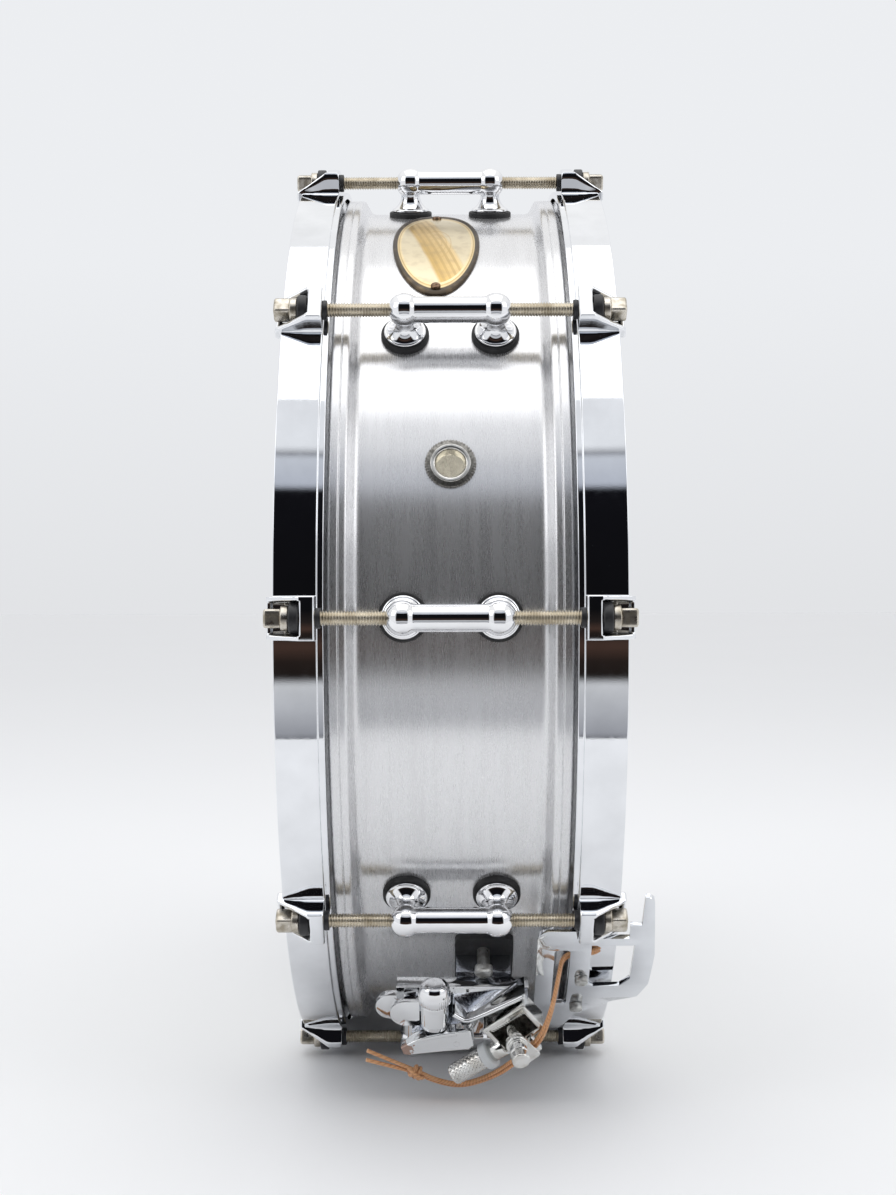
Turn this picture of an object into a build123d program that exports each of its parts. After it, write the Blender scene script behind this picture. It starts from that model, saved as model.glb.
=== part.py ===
from build123d import *
import math
import os

# Snare drum, 14 inch across and 4 inch deep, standing on its edge on four hoop ears.
# The drum's axis is X: the batter side is -X and the snare side +X. -Y is the front, +Z is up.
# Angles go round the axis from the front, positive upwards. All sizes are in millimetres.

# ---- driving dimensions: shell ----
SHELL_DEPTH = 101.6
SHELL_RADIUS = 177.6
SHELL_WALL = 2.6
HALF = SHELL_DEPTH / 2
BAND_HEIGHT = 5.7
BAND_FOOT_X = HALF - 16.4
BAND_INNER_X = HALF - 13.7
BAND_OUTER_X = HALF - 7.0
BAND_ROUND = 1.2
VENT_ANGLE = 18.0
VENT_HOLE = 12.8
VENT_BORE = 10.6
VENT_RIM = 18.4
VENT_RIM_HEIGHT = 1.6

# ---- driving dimensions: lugs and rods ----
LUG_COUNT = 10
ROD_CIRCLE = SHELL_RADIUS + 13.9
LUG_BALL = 12.4
LUG_BALL_X = 16.9
LUG_TUBE = 9.75
LUG_NECK = 8.1
LUG_FOOT = 15.6
LUG_FOOT_HEIGHT = 1.4
LUG_FLARE = 2.6
GASKET = 18.0
GASKET_THICK = 2.0
LUG_SCREW = 4.6
LUG_SCREW_HEAD = 8.0
LUG_WASHER = 11.0
LUG_WASHER_THICK = 0.8
ROD = 5.6
ROD_CLEAR = 0.08
ROD_HEAD = 6.6
ROD_HEAD_LONG = 6.0
ROD_ENGAGE = 11.0
WASHER = 8.8
WASHER_THICK = 2.7
SEAT = 11.0
SEAT_THICK = 3.7
BUSHING = 8.0
BUSHING_LONG = 3.1

# ---- driving dimensions: hoops and heads ----
HEAD_FILM = 0.4
HOOP_RADIUS = SHELL_RADIUS + 10.4
HOOP_WALL = 3.8
HOOP_SHOULDER_X = HALF - 3.9
HOOP_RIM_X = HALF + 11.5
HOOP_EDGE_ROUND = 1.52
LIP_X = HOOP_SHOULDER_X - 2.3
LIP_STEP = 1.0
FLANGE_X = HALF + HEAD_FILM
FLANGE_THICK = 2.6
FLANGE_RADIUS = SHELL_RADIUS + 1.8
EAR_WIDTH = 15.4
EAR_RADIUS = ROD_CIRCLE + 5.5
EAR_BOSS = 5.6
EAR_END_X = HOOP_RIM_X + 2.2
EAR_ROUND = 1.1
POCKET_WIDTH = 11.8
POCKET_FLOOR = ROD_CIRCLE - 6.2
BOSS_CLEAR = 0.3
FLESH_THICK = 4.6
FLESH_DEPTH = 5.0
FLESH_GAP = 0.5

# ---- driving dimensions: snares ----
SNARE_ANGLE = -50.0
SNARE_COUNT = 20
SNARE_WIRE = 1.2
SNARE_PITCH = 2.0
SNARE_LENGTH = 2 * (SHELL_RADIUS - 29.6)
SNARE_END_LONG = 10.0
SNARE_END_WIDTH = 44.0
SNARE_END_THICK = 1.6
CORD = 1.5
CORD_PITCH = 1.7
CORD_HOLE = 14.0
GATE_WIDTH = 16.0

# ---- driving dimensions: guards ----
GUARD_STAND_OFF = 2.6
GUARD_THICK = 1.8
GUARD_REACH_X = HOOP_RIM_X + 14.0
GUARD_BACK_X = HOOP_RIM_X - 30.3
GUARD_SCREW = 5.0
GUARD_ANGLE = -49.0
GUARD_SCREWS_AT = ((HOOP_RIM_X - 12.9, 8.7), (HOOP_RIM_X - 13.7, -14.0))
GUARD_SCREW_HEAD = 2.4
SLOT_X = HOOP_RIM_X - 20.7
SLOT_T = 7.0
SLOT_WIDE = 6.0
SLOT_LONG = 40.0
WINDOW_X = (HOOP_RIM_X - 9.9, HOOP_RIM_X + 6.2)
CORD_RADIUS = HOOP_RADIUS + 1.3
CORD_GATE_X = HOOP_RIM_X - 5.3

# ---- driving dimensions: strainer ----
STRAINER_TILT = 25.0
STRAINER_ANGLE = -48.945
STRAINER_STAND_OFF = 27.95
PAD_THICK = 2.4
PAD_X = (1.2, 23.8)
PAD_ARC = -15.67
PAD_SPAN = (-27.0, 31.5)
BRACKET_X = (1.6, 22.6)
BACK_N = -14.0
RAIL_N = -8.0
RAIL_X = (-21.3, 29.3)
RAIL_U = (3.0, 9.6)
KNOB_AT = (-6.6, -1.0)
KNOB = 12.4
SLEEVE = 10.5
LEVER_PIN_AT = (5.8, -1.6)
LEVER_PIN = 2.6
LEVER_FRONT_N = 4.2
LEVER_THICK = 2.2
YOKE_TURN = 37.0
YOKE_CENTRE = (23.4, -1.2)
YOKE_LONG = 19.4
YOKE_HIGH = 13.8
YOKE_WALL = 1.8
YOKE_N = (-5.0, 4.0)
YOKE_TRAVEL = 8.0
ADJUSTER = 8.5
ADJUSTER_LONG = 15.0
ADJUSTER_AT = (-4.6, 3.0)
BOSS_LONG = 3.9
COLLAR = 11.0
COLLAR_LONG = 3.4
SPINDLE = 4.0
CLAMP_LEAN = 8.0
CLAMP_POST = 7.0
CLAMP_CAP = 6.8
PIN_CLEAR = 0.08
APRON = 4.4
RIM_N = 0.6
TAB_ROUND = 5.6
SLEEVE_U = (-1.2, 8.0)
SHELF = 1.2
LOWER_LUG = (-13.5, -12.2)
UPPER_LUG = (-3.4, -1.4)
BARREL_U = (-12.0, -3.6)
LIP_N = -2.4
LEDGE_N = 5.1
TONGUE = 2.6
POST_LONG = 26.0
POST_FOOT_GAP = 0.9
JAW_AT = 13.5
JAW_THICK = 1.8
STUD_LONG = 8.0
BUTT_WIDE = 20.0
BUTT_LONG = 46.0
BUTT_HEIGHT = 9.0
BUTT_BOLT_ARC = 17.05
GATE_ARC = 19.67
BOLT = 5.0
BOLT_HEAD = 7.0
BOLT_HEAD_THICK = 3.6
BOLT_NUT = 8.4
BOLT_SEAT_HEIGHT = 7.2
STRAINER_BOLT_X = 12.2
STRAINER_BOLT_ARCS = (7.27, -18.15)

# ---- driving dimensions: badge ----
BADGE_X = -5.6
BADGE_ANGLE = 56.4
BADGE_WIDTH = 34.8
BADGE_ARC = 81.0
BADGE_THICK = 0.8
BADGE_PIN = 2.8
BADGE_PIN_STEP = 0.6
BADGE_PIN_HEAD = 0.9
BADGE_PIN_ARC = 35.0

# ---- values worked out from them ----
LUG_STEP = 360 / LUG_COUNT
LUG_ANGLES = [i * LUG_STEP for i in range(LUG_COUNT)]
SEAT_X = HOOP_SHOULDER_X + EAR_BOSS
WASHER_X = SEAT_X + SEAT_THICK
HEAD_X = WASHER_X + WASHER_THICK
ROD_END_X = HEAD_X + ROD_HEAD_LONG
ROD_TIP_X = LUG_BALL_X + LUG_BALL / 2 - ROD_ENGAGE
HEAD_FACE_X = HALF + HEAD_FILM
STAND_ANGLE = math.radians(LUG_STEP / 2)
STAND_HEIGHT = EAR_RADIUS * math.cos(STAND_ANGLE) + EAR_WIDTH / 2 * math.sin(STAND_ANGLE)
MID_X = (ROD_END_X - GUARD_REACH_X) / 2
CENTRE = Vector(MID_X, 0, STAND_HEIGHT)
DRUM_AXIS = Axis(CENTRE, (1, 0, 0))
PROFILE = Plane(CENTRE, x_dir=(1, 0, 0), z_dir=(0, -1, 0))
MIDDLE = Plane(CENTRE, x_dir=(0, 1, 0), z_dir=(1, 0, 0))


def arc_angle(middle, arc):
    """The angle that lies this many millimetres round the shell from another."""
    return middle + math.degrees(arc / SHELL_RADIUS)


STRAINER_BOLT_ANGLES = [arc_angle(STRAINER_ANGLE, arc) for arc in STRAINER_BOLT_ARCS]
PAD_ANGLE = arc_angle(STRAINER_ANGLE, PAD_ARC)
CORD_GATE_ANGLE = arc_angle(STRAINER_ANGLE, GATE_ARC)
BUTT_ANGLE = SNARE_ANGLE + 180
BUTT_BOLT_ANGLES = [arc_angle(BUTT_ANGLE, side * BUTT_BOLT_ARC) for side in (-1, 1)]
BADGE_PIN_ANGLES = [arc_angle(BADGE_ANGLE, side * BADGE_PIN_ARC) for side in (-1, 1)]

os.makedirs("parts", exist_ok=True)


def outward(angle):
    """The radial direction at an angle round the drum."""
    turn = math.radians(angle)
    return Vector(0, -math.cos(turn), math.sin(turn))


def station(angle, radius, x=0.0):
    """A plane that faces outwards: its x is the drum's axis and its y goes up round the shell."""
    return Plane(CENTRE + outward(angle) * radius + Vector(x, 0, 0), x_dir=(1, 0, 0), z_dir=outward(angle))


def along(angle, x, radius=ROD_CIRCLE):
    """A plane across the drum's axis at a place on the rod circle: its x points outwards."""
    return Plane(CENTRE + outward(angle) * radius + Vector(x, 0, 0), x_dir=outward(angle), z_dir=(1, 0, 0))


def seat(width):
    """How far out a flat face of this width can stand against the inside of the shell."""
    return math.sqrt((SHELL_RADIUS - SHELL_WALL) ** 2 - width ** 2 / 4)


def round_the_drum(name, piece, angles):
    """Copies of a piece made at the front, one at each angle, as one group of separate solids."""
    group = Compound(children=[piece.rotate(DRUM_AXIS, -angle) for angle in angles])
    keep(name, group)
    return group


def keep(name, piece):
    """Give a finished piece its label and write it."""
    piece.label = name
    export_step(piece, "parts/" + name + ".step")


def ring(points):
    """A ring turned about the drum's axis from corners given as (x, radius)."""
    with BuildPart() as turned:
        with BuildSketch(PROFILE):
            with BuildLine():
                Polyline(*points, close=True)
            make_face()
        revolve(axis=DRUM_AXIS)
    return turned.part


# ==== shell: spun wall with a raised band near each edge, bevelled inside at the bearing edges ====
INNER = SHELL_RADIUS - SHELL_WALL
BAND = SHELL_RADIUS + BAND_HEIGHT
EDGE_FLAT = 0.9
with BuildPart() as shell:
    with BuildSketch(PROFILE) as wall:
        with BuildLine():
            Polyline(
                (0, INNER), (0, SHELL_RADIUS), (BAND_FOOT_X, SHELL_RADIUS), (BAND_INNER_X, BAND),
                (BAND_OUTER_X, BAND), (BAND_OUTER_X, SHELL_RADIUS), (HALF - EDGE_FLAT, SHELL_RADIUS),
                (HALF, SHELL_RADIUS - EDGE_FLAT), (HALF - SHELL_WALL + EDGE_FLAT, INNER), close=True,
            )
        make_face()
        fillet(wall.vertices().filter_by(lambda corner: abs(corner.Y - BAND) < 0.01), BAND_ROUND)
        mirror(about=Plane.YZ)
    revolve(axis=DRUM_AXIS)
    with BuildSketch(station(VENT_ANGLE, INNER - SHELL_WALL)):
        Circle(VENT_HOLE / 2)
    extrude(amount=3 * SHELL_WALL, mode=Mode.SUBTRACT)
    for lug_angle in LUG_ANGLES:
        with BuildSketch(station(lug_angle, INNER - SHELL_WALL)):
            with Locations((-LUG_BALL_X, 0), (LUG_BALL_X, 0)):
                Circle(LUG_SCREW / 2 + ROD_CLEAR)
        extrude(amount=3 * SHELL_WALL, mode=Mode.SUBTRACT)
    for pin_angle in BADGE_PIN_ANGLES:
        with BuildSketch(station(pin_angle, INNER - SHELL_WALL, BADGE_X)):
            Circle(BADGE_PIN / 2 - BADGE_PIN_STEP)
        extrude(amount=3 * SHELL_WALL, mode=Mode.SUBTRACT)
    for bolt_angle in STRAINER_BOLT_ANGLES:
        with BuildSketch(station(bolt_angle, INNER - SHELL_WALL, STRAINER_BOLT_X)):
            Circle(BOLT / 2)
        extrude(amount=3 * SHELL_WALL, mode=Mode.SUBTRACT)
    for bolt_angle in BUTT_BOLT_ANGLES:
        with BuildSketch(station(bolt_angle, INNER - SHELL_WALL, STRAINER_BOLT_X)):
            Circle(BOLT / 2)
        extrude(amount=3 * SHELL_WALL, mode=Mode.SUBTRACT)
keep("shell", shell.part)


# ==== air vent: a domed ring through the shell and a flat washer that it is rolled over inside ====
with BuildPart() as air_vent_grommet:
    with BuildSketch(station(VENT_ANGLE, SHELL_RADIUS)):
        Circle(VENT_RIM / 2)
        Circle(VENT_BORE / 2, mode=Mode.SUBTRACT)
    extrude(amount=VENT_RIM_HEIGHT)
    chamfer(air_vent_grommet.faces().sort_by(Axis(CENTRE, outward(VENT_ANGLE)))[-1].edges(), 0.6)
    with BuildSketch(station(VENT_ANGLE, SHELL_RADIUS)):
        Circle(VENT_HOLE / 2)
        Circle(VENT_BORE / 2, mode=Mode.SUBTRACT)
    extrude(amount=-(SHELL_WALL + 1.6))
keep("air_vent_grommet", air_vent_grommet.part)

with BuildPart() as air_vent_washer:
    with BuildSketch(station(VENT_ANGLE, seat(VENT_RIM))):
        Circle(VENT_RIM / 2)
        Circle(VENT_HOLE / 2, mode=Mode.SUBTRACT)
    extrude(amount=-1.2)
keep("air_vent_washer", air_vent_washer.part)

# ==== tube lugs: two balls joined by a tube, each on a flared post, bored through for the rods ====
FOOT_RADIUS = SHELL_RADIUS + GASKET_THICK
BORE = ROD + 2 * ROD_CLEAR
with BuildPart() as lug:
    with BuildSketch(along(0, -LUG_BALL_X)):
        Circle(LUG_TUBE / 2)
    extrude(amount=2 * LUG_BALL_X)
    for side in (-1, 1):
        with Locations(station(0, ROD_CIRCLE, side * LUG_BALL_X)):
            Sphere(LUG_BALL / 2)
        with BuildSketch(station(0, FOOT_RADIUS, side * LUG_BALL_X)):
            Circle(LUG_FOOT / 2)
        extrude(amount=LUG_FOOT_HEIGHT)
        with BuildSketch(station(0, FOOT_RADIUS + LUG_FOOT_HEIGHT, side * LUG_BALL_X)):
            Circle(LUG_FOOT / 2)
        with BuildSketch(station(0, FOOT_RADIUS + LUG_FOOT_HEIGHT + LUG_FLARE, side * LUG_BALL_X)):
            Circle(LUG_NECK / 2)
        loft()
        with BuildSketch(station(0, FOOT_RADIUS + LUG_FOOT_HEIGHT + LUG_FLARE, side * LUG_BALL_X)):
            Circle(LUG_NECK / 2)
        extrude(amount=ROD_CIRCLE - FOOT_RADIUS - LUG_FOOT_HEIGHT - LUG_FLARE)
    with BuildSketch(along(0, -LUG_BALL_X - LUG_BALL)):
        Circle(BORE / 2)
    extrude(amount=2 * (LUG_BALL_X + LUG_BALL), mode=Mode.SUBTRACT)
    for side in (-1, 1):
        with BuildSketch(station(0, FOOT_RADIUS, side * LUG_BALL_X)):
            Circle(LUG_SCREW / 2)
        extrude(amount=LUG_FOOT_HEIGHT + LUG_FLARE, mode=Mode.SUBTRACT)
round_the_drum("tube_lugs", lug.part, LUG_ANGLES)

# Rubber gasket under each foot, its underside following the shell
with BuildPart() as gasket:
    for side in (-1, 1):
        with BuildSketch(station(0, FOOT_RADIUS, side * LUG_BALL_X)):
            Circle(GASKET / 2)
            Circle(LUG_SCREW / 2 + ROD_CLEAR, mode=Mode.SUBTRACT)
        extrude(amount=-GASKET_THICK - 0.4)
    with BuildSketch(along(0, -HALF, 0)):
        Circle(SHELL_RADIUS)
    extrude(amount=SHELL_DEPTH, mode=Mode.SUBTRACT)
round_the_drum("lug_gaskets", gasket.part, LUG_ANGLES)

# Screw and washer head inside the shell, up into the lug's post
SCREW_SEAT = seat(LUG_WASHER)
with BuildPart() as lug_screw:
    for side in (-1, 1):
        with BuildSketch(station(0, SCREW_SEAT - LUG_WASHER_THICK, side * LUG_BALL_X)):
            RegularPolygon(LUG_SCREW_HEAD / 2, 6)
        extrude(amount=-LUG_SCREW_HEAD / 3)
        with BuildSketch(station(0, SCREW_SEAT - LUG_WASHER_THICK, side * LUG_BALL_X)):
            Circle(LUG_WASHER / 2)
        extrude(amount=LUG_WASHER_THICK)
        with BuildSketch(station(0, SCREW_SEAT, side * LUG_BALL_X)):
            Circle(LUG_SCREW / 2)
        extrude(amount=FOOT_RADIUS + LUG_FOOT_HEIGHT + LUG_FLARE - SCREW_SEAT)
round_the_drum("lug_screws", lug_screw.part, LUG_ANGLES)

# ==== tension rods: square head, round shank, one node for each ====
with BuildPart() as rod:
    with BuildSketch(along(0, HEAD_X)):
        Rectangle(ROD_HEAD, ROD_HEAD)
    extrude(amount=ROD_HEAD_LONG)
    fillet(rod.edges().filter_by(Axis.X), 0.5)
    fillet(rod.faces().sort_by(Axis.X)[-1].edges(), 0.9)
    with BuildSketch(along(0, HEAD_X)):
        Circle(ROD / 2)
    extrude(amount=-(HEAD_X - ROD_TIP_X))
for index, lug_angle in enumerate(LUG_ANGLES, start=1):
    snare_rod = rod.part.rotate(DRUM_AXIS, -lug_angle)
    keep(f"snare_rod_{index:02d}", snare_rod)
    keep(f"batter_rod_{index:02d}", snare_rod.mirror(MIDDLE))


def sleeve(x_from, x_to, outer, inner):
    """A round collar on the rod circle at the front, on both sides of the drum."""
    with BuildPart() as collar:
        for start in (x_from, -x_to):
            with BuildSketch(along(0, start)):
                Circle(outer / 2)
                Circle(inner / 2, mode=Mode.SUBTRACT)
            extrude(amount=x_to - x_from)
    return collar.part


round_the_drum("rod_washers", sleeve(WASHER_X, HEAD_X, WASHER, BORE), LUG_ANGLES)
round_the_drum("rod_seats", sleeve(SEAT_X, WASHER_X, SEAT, BORE), LUG_ANGLES)
BUSHING_SLEEVE = sleeve(HOOP_SHOULDER_X - BUSHING_LONG, HOOP_SHOULDER_X, BUSHING, BORE)
round_the_drum("rod_bushings", BUSHING_SLEEVE, LUG_ANGLES)

# ==== hoops: cast rings with a stepped lip, a flange over the flesh hoop and an ear for each rod ====
HOOP_INNER = HOOP_RADIUS - HOOP_WALL
HEAD_FLOOR = ROD_CIRCLE - ROD_HEAD / math.sqrt(2) - BOSS_CLEAR
GATE_X = (FLANGE_X + FLANGE_THICK + 0.6, HOOP_RIM_X - 3.2)
with BuildPart() as snare_hoop:
    with BuildSketch(PROFILE) as section:
        with BuildLine():
            Polyline(
                (LIP_X, HOOP_INNER), (LIP_X, HOOP_RADIUS - LIP_STEP),
                (HOOP_SHOULDER_X, HOOP_RADIUS - LIP_STEP),
                (HOOP_SHOULDER_X, HOOP_RADIUS), (HOOP_RIM_X, HOOP_RADIUS), (HOOP_RIM_X, HOOP_INNER),
                (FLANGE_X + FLANGE_THICK, HOOP_INNER), (FLANGE_X + FLANGE_THICK, FLANGE_RADIUS),
                (FLANGE_X, FLANGE_RADIUS), (FLANGE_X, HOOP_INNER), close=True,
            )
        make_face()
        fillet(section.vertices().filter_by(lambda corner: corner.X > HOOP_RIM_X - 0.01), HOOP_EDGE_ROUND)
    revolve(axis=DRUM_AXIS)
    for lug_angle in LUG_ANGLES:
        side_on = Plane(CENTRE, x_dir=(1, 0, 0), z_dir=outward(lug_angle + 90) * -1)
        with BuildSketch(side_on.offset(-EAR_WIDTH / 2)) as ear:
            with BuildLine():
                Polyline(
                    (HOOP_SHOULDER_X, HOOP_RADIUS - 2), (HOOP_SHOULDER_X, EAR_RADIUS), (SEAT_X, EAR_RADIUS),
                    (EAR_END_X, HOOP_RADIUS + 0.5), (EAR_END_X, POCKET_FLOOR - 0.6),
                    (HOOP_RIM_X - 1.5, POCKET_FLOOR - 0.6), close=True,
                )
            make_face()
            fillet(ear.vertices().filter_by(lambda corner: corner.Y > HOOP_RADIUS + 1), EAR_ROUND)
        extrude(amount=EAR_WIDTH)
        with BuildSketch(side_on.offset(-POCKET_WIDTH / 2)):
            with BuildLine():
                Polyline(
                    (SEAT_X, POCKET_FLOOR), (SEAT_X, EAR_RADIUS + 3), (EAR_END_X + 3, EAR_RADIUS + 3),
                    (EAR_END_X + 3, HEAD_FLOOR), (HOOP_RIM_X + 0.6, HEAD_FLOOR),
                    (HOOP_RIM_X - 1.0, POCKET_FLOOR), close=True,
                )
            make_face()
        extrude(amount=POCKET_WIDTH, mode=Mode.SUBTRACT)
        with BuildSketch(along(lug_angle, HOOP_SHOULDER_X - 1)):
            Circle(BORE / 2 + BOSS_CLEAR)
        extrude(amount=EAR_BOSS + 2, mode=Mode.SUBTRACT)
        with BuildSketch(along(lug_angle, LIP_X - 1)):
            Circle(BUSHING / 2 + 0.2)
        extrude(amount=HOOP_SHOULDER_X - LIP_X + 1, mode=Mode.SUBTRACT)
BATTER_HOOP = snare_hoop.part.mirror(MIDDLE)
with BuildPart() as gated_hoop:
    add(snare_hoop.part)
    for gate_angle in (CORD_GATE_ANGLE, CORD_GATE_ANGLE + 180):
        with BuildSketch(station(gate_angle, HOOP_INNER - 1, sum(GATE_X) / 2)):
            RectangleRounded(GATE_X[1] - GATE_X[0], GATE_WIDTH, 1.2)
        extrude(amount=HOOP_WALL + 2, mode=Mode.SUBTRACT)
keep("snare_hoop", gated_hoop.part)
keep("batter_hoop", BATTER_HOOP)

# ==== heads: thin films with a turned-down collar, each in a flesh hoop that the cast hoop presses ====
COLLAR_RADIUS = SHELL_RADIUS + FLESH_GAP
FLESH_X = FLANGE_X - FLESH_DEPTH
SNARE_HEAD = ring(
    [(HALF, 0), (HEAD_FACE_X, 0), (HEAD_FACE_X, COLLAR_RADIUS + HEAD_FILM),
     (FLESH_X + 1, COLLAR_RADIUS + HEAD_FILM), (FLESH_X + 1, COLLAR_RADIUS), (HALF, COLLAR_RADIUS)],
)
keep("snare_head", SNARE_HEAD)
keep("batter_head", SNARE_HEAD.mirror(MIDDLE))
FLESH_INNER = COLLAR_RADIUS + HEAD_FILM
SNARE_FLESH = ring(
    [(FLESH_X, FLESH_INNER), (FLESH_X, FLESH_INNER + FLESH_THICK), (FLANGE_X, FLESH_INNER + FLESH_THICK),
     (FLANGE_X, FLESH_INNER)],
)
keep("snare_flesh_hoop", SNARE_FLESH)
keep("batter_flesh_hoop", SNARE_FLESH.mirror(MIDDLE))

# ==== snares: straight wires across the snare head between two end plates ====
SNARE_LINE = Plane(CENTRE + Vector(HEAD_FACE_X, 0, 0), x_dir=outward(SNARE_ANGLE), z_dir=(1, 0, 0))
WIRE_RUN = SNARE_LENGTH - 2 * SNARE_END_LONG + 4
with BuildPart() as snare_wires:
    for end in (-1, 1):
        with BuildSketch(SNARE_LINE):
            with Locations((end * (SNARE_LENGTH - SNARE_END_LONG) / 2, 0)):
                RectangleRounded(SNARE_END_LONG, SNARE_END_WIDTH, 1.5)
            with Locations((end * (SNARE_LENGTH - SNARE_END_LONG) / 2, -end * CORD_HOLE)):
                SlotOverall(CORD + 2 * CORD_PITCH, CORD * 1.6, rotation=90, mode=Mode.SUBTRACT)
        extrude(amount=SNARE_END_THICK)
    wire_start = Plane(SNARE_LINE.from_local_coords(Vector(-WIRE_RUN / 2, 0, SNARE_END_THICK / 2)),
                       x_dir=(1, 0, 0), z_dir=outward(SNARE_ANGLE))
    with BuildSketch(wire_start):
        with GridLocations(0, SNARE_PITCH, 1, SNARE_COUNT):
            Circle(SNARE_WIRE / 2)
    extrude(amount=WIRE_RUN)
keep("snare_wires", snare_wires.part)

# ==== snare guards: plates round the hoop, with a slot for the cords and a frame beyond the rim ====
GUARD_INNER = HOOP_RADIUS + GUARD_STAND_OFF
GUARD_OUTER = GUARD_INNER + GUARD_THICK
GUARD_BACK = Plane(CENTRE + Vector(GUARD_BACK_X - 2, 0, 0), x_dir=(0, 1, 0), z_dir=(1, 0, 0))
with BuildPart() as strainer_guard:
    with BuildSketch(station(GUARD_ANGLE, HOOP_RADIUS - 30)) as outline:
        with BuildLine():
            Polyline(
                (GUARD_BACK_X, 38.0), (HOOP_RIM_X - 16.1, 38.0), (HOOP_RIM_X - 15.5, 34.0),
                (HOOP_RIM_X + 3.9, 34.0), (HOOP_RIM_X + 3.9, 41.0), (HOOP_RIM_X + 8.1, 41.0),
                (HOOP_RIM_X + 8.5, 55.0), (HOOP_RIM_X + 11.9, 55.0), (GUARD_REACH_X, 24.0),
                (GUARD_REACH_X - 0.8, 4.0), (HOOP_RIM_X + 9.7, -6.5), (HOOP_RIM_X - 0.3, -11.0),
                (HOOP_RIM_X - 13.3, -24.0), (HOOP_RIM_X - 18.8, -44.0), (GUARD_BACK_X + 2, -44.0),
                (GUARD_BACK_X, -36.0), close=True,
            )
        make_face()
        fillet(outline.vertices().group_by(Axis.X)[0].sort_by(Axis.Y)[-1], 5.0)
        fillet(outline.vertices().sort_by(Axis.X)[-3:], 2.5)
        with Locations((SLOT_X, SLOT_T)):
            RectangleRounded(SLOT_WIDE, SLOT_LONG, 1.5, mode=Mode.SUBTRACT)
        with BuildLine():
            Polyline(
                (WINDOW_X[0], 30.0), (WINDOW_X[1], 30.0), (WINDOW_X[1] - 0.4, 8.0), (WINDOW_X[1] - 4, 2.5),
                (WINDOW_X[0] + 2, 2.0), (WINDOW_X[0], 4.0), close=True,
            )
        make_face(mode=Mode.SUBTRACT)
        with Locations(*GUARD_SCREWS_AT):
            Circle(GUARD_SCREW * 0.3, mode=Mode.SUBTRACT)
    extrude(amount=60)
    with BuildSketch(GUARD_BACK):
        Circle(GUARD_OUTER)
        Circle(GUARD_INNER, mode=Mode.SUBTRACT)
    extrude(amount=GUARD_REACH_X - GUARD_BACK_X + 4, mode=Mode.INTERSECT)
keep("strainer_guard", strainer_guard.part)
keep("butt_guard", strainer_guard.part.rotate(DRUM_AXIS, 180))

# Guard screws with their spacers, standing on the hoop
with BuildPart() as guard_screw:
    for x, t in GUARD_SCREWS_AT:
        screw_angle = GUARD_ANGLE + math.degrees(math.asin(t / GUARD_OUTER))
        with BuildSketch(station(screw_angle, HOOP_RADIUS, x)):
            Circle(GUARD_SCREW / 2)
        extrude(amount=GUARD_STAND_OFF - GUARD_SCREW ** 2 / 8 / GUARD_INNER)
        with BuildSketch(station(screw_angle, HOOP_RADIUS, x)):
            Circle(GUARD_SCREW * 0.28)
        extrude(amount=GUARD_STAND_OFF + GUARD_THICK)
        with BuildSketch(station(screw_angle, GUARD_OUTER, x)):
            Circle(GUARD_SCREW / 2)
        extrude(amount=GUARD_SCREW_HEAD)
keep("guard_screws", Compound(children=[guard_screw.part, guard_screw.part.rotate(DRUM_AXIS, 180)]))

# ==== badge: an oval plate curved to the shell, held by two pins ====
with BuildPart() as badge_plate:
    with BuildSketch(station(BADGE_ANGLE, 0, BADGE_X)):
        Ellipse(BADGE_WIDTH / 2, SHELL_RADIUS * math.sin(BADGE_ARC / 2 / SHELL_RADIUS))
    extrude(amount=SHELL_RADIUS + 5)
    with BuildSketch(Plane(CENTRE + Vector(-HALF, 0, 0), x_dir=(0, 1, 0), z_dir=(1, 0, 0))):
        Circle(SHELL_RADIUS + BADGE_THICK)
        Circle(SHELL_RADIUS, mode=Mode.SUBTRACT)
    extrude(amount=SHELL_DEPTH, mode=Mode.INTERSECT)
    for pin_angle in BADGE_PIN_ANGLES:
        with BuildSketch(station(pin_angle, SHELL_RADIUS - 1, BADGE_X)):
            Circle(BADGE_PIN / 2 - BADGE_PIN_STEP)
        extrude(amount=3, mode=Mode.SUBTRACT)
keep("badge_plate", badge_plate.part)

with BuildPart() as badge_pins:
    for pin_angle in BADGE_PIN_ANGLES:
        with BuildSketch(station(pin_angle, SHELL_RADIUS + BADGE_THICK, BADGE_X)):
            Circle(BADGE_PIN / 2)
        extrude(amount=BADGE_PIN_HEAD)
        with BuildSketch(station(pin_angle, INNER - 1, BADGE_X)):
            Circle(BADGE_PIN / 2 - BADGE_PIN_STEP)
        extrude(amount=SHELL_WALL + BADGE_THICK + 1)
keep("badge_pins", badge_pins.part)

# ==== strainer: its own plane leans back by STRAINER_TILT, with n outwards and u up ====
LEAN = math.radians(STRAINER_TILT)
FACE = Plane(
    CENTRE + outward(STRAINER_ANGLE) * (SHELL_RADIUS + STRAINER_STAND_OFF), x_dir=(1, 0, 0),
    z_dir=(0, -math.cos(LEAN), -math.sin(LEAN)),
)
UP = FACE.y_dir
OUT = FACE.z_dir
PAD_OUTER = SHELL_RADIUS + PAD_THICK


def face_point(a, u, n):
    """A point from the strainer's own coordinates."""
    return FACE.from_local_coords(Vector(a, u, n))


def upright(a, n, u):
    """A plane across the strainer's upward direction."""
    return Plane(face_point(a, u, n), x_dir=(1, 0, 0), z_dir=UP)


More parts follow.
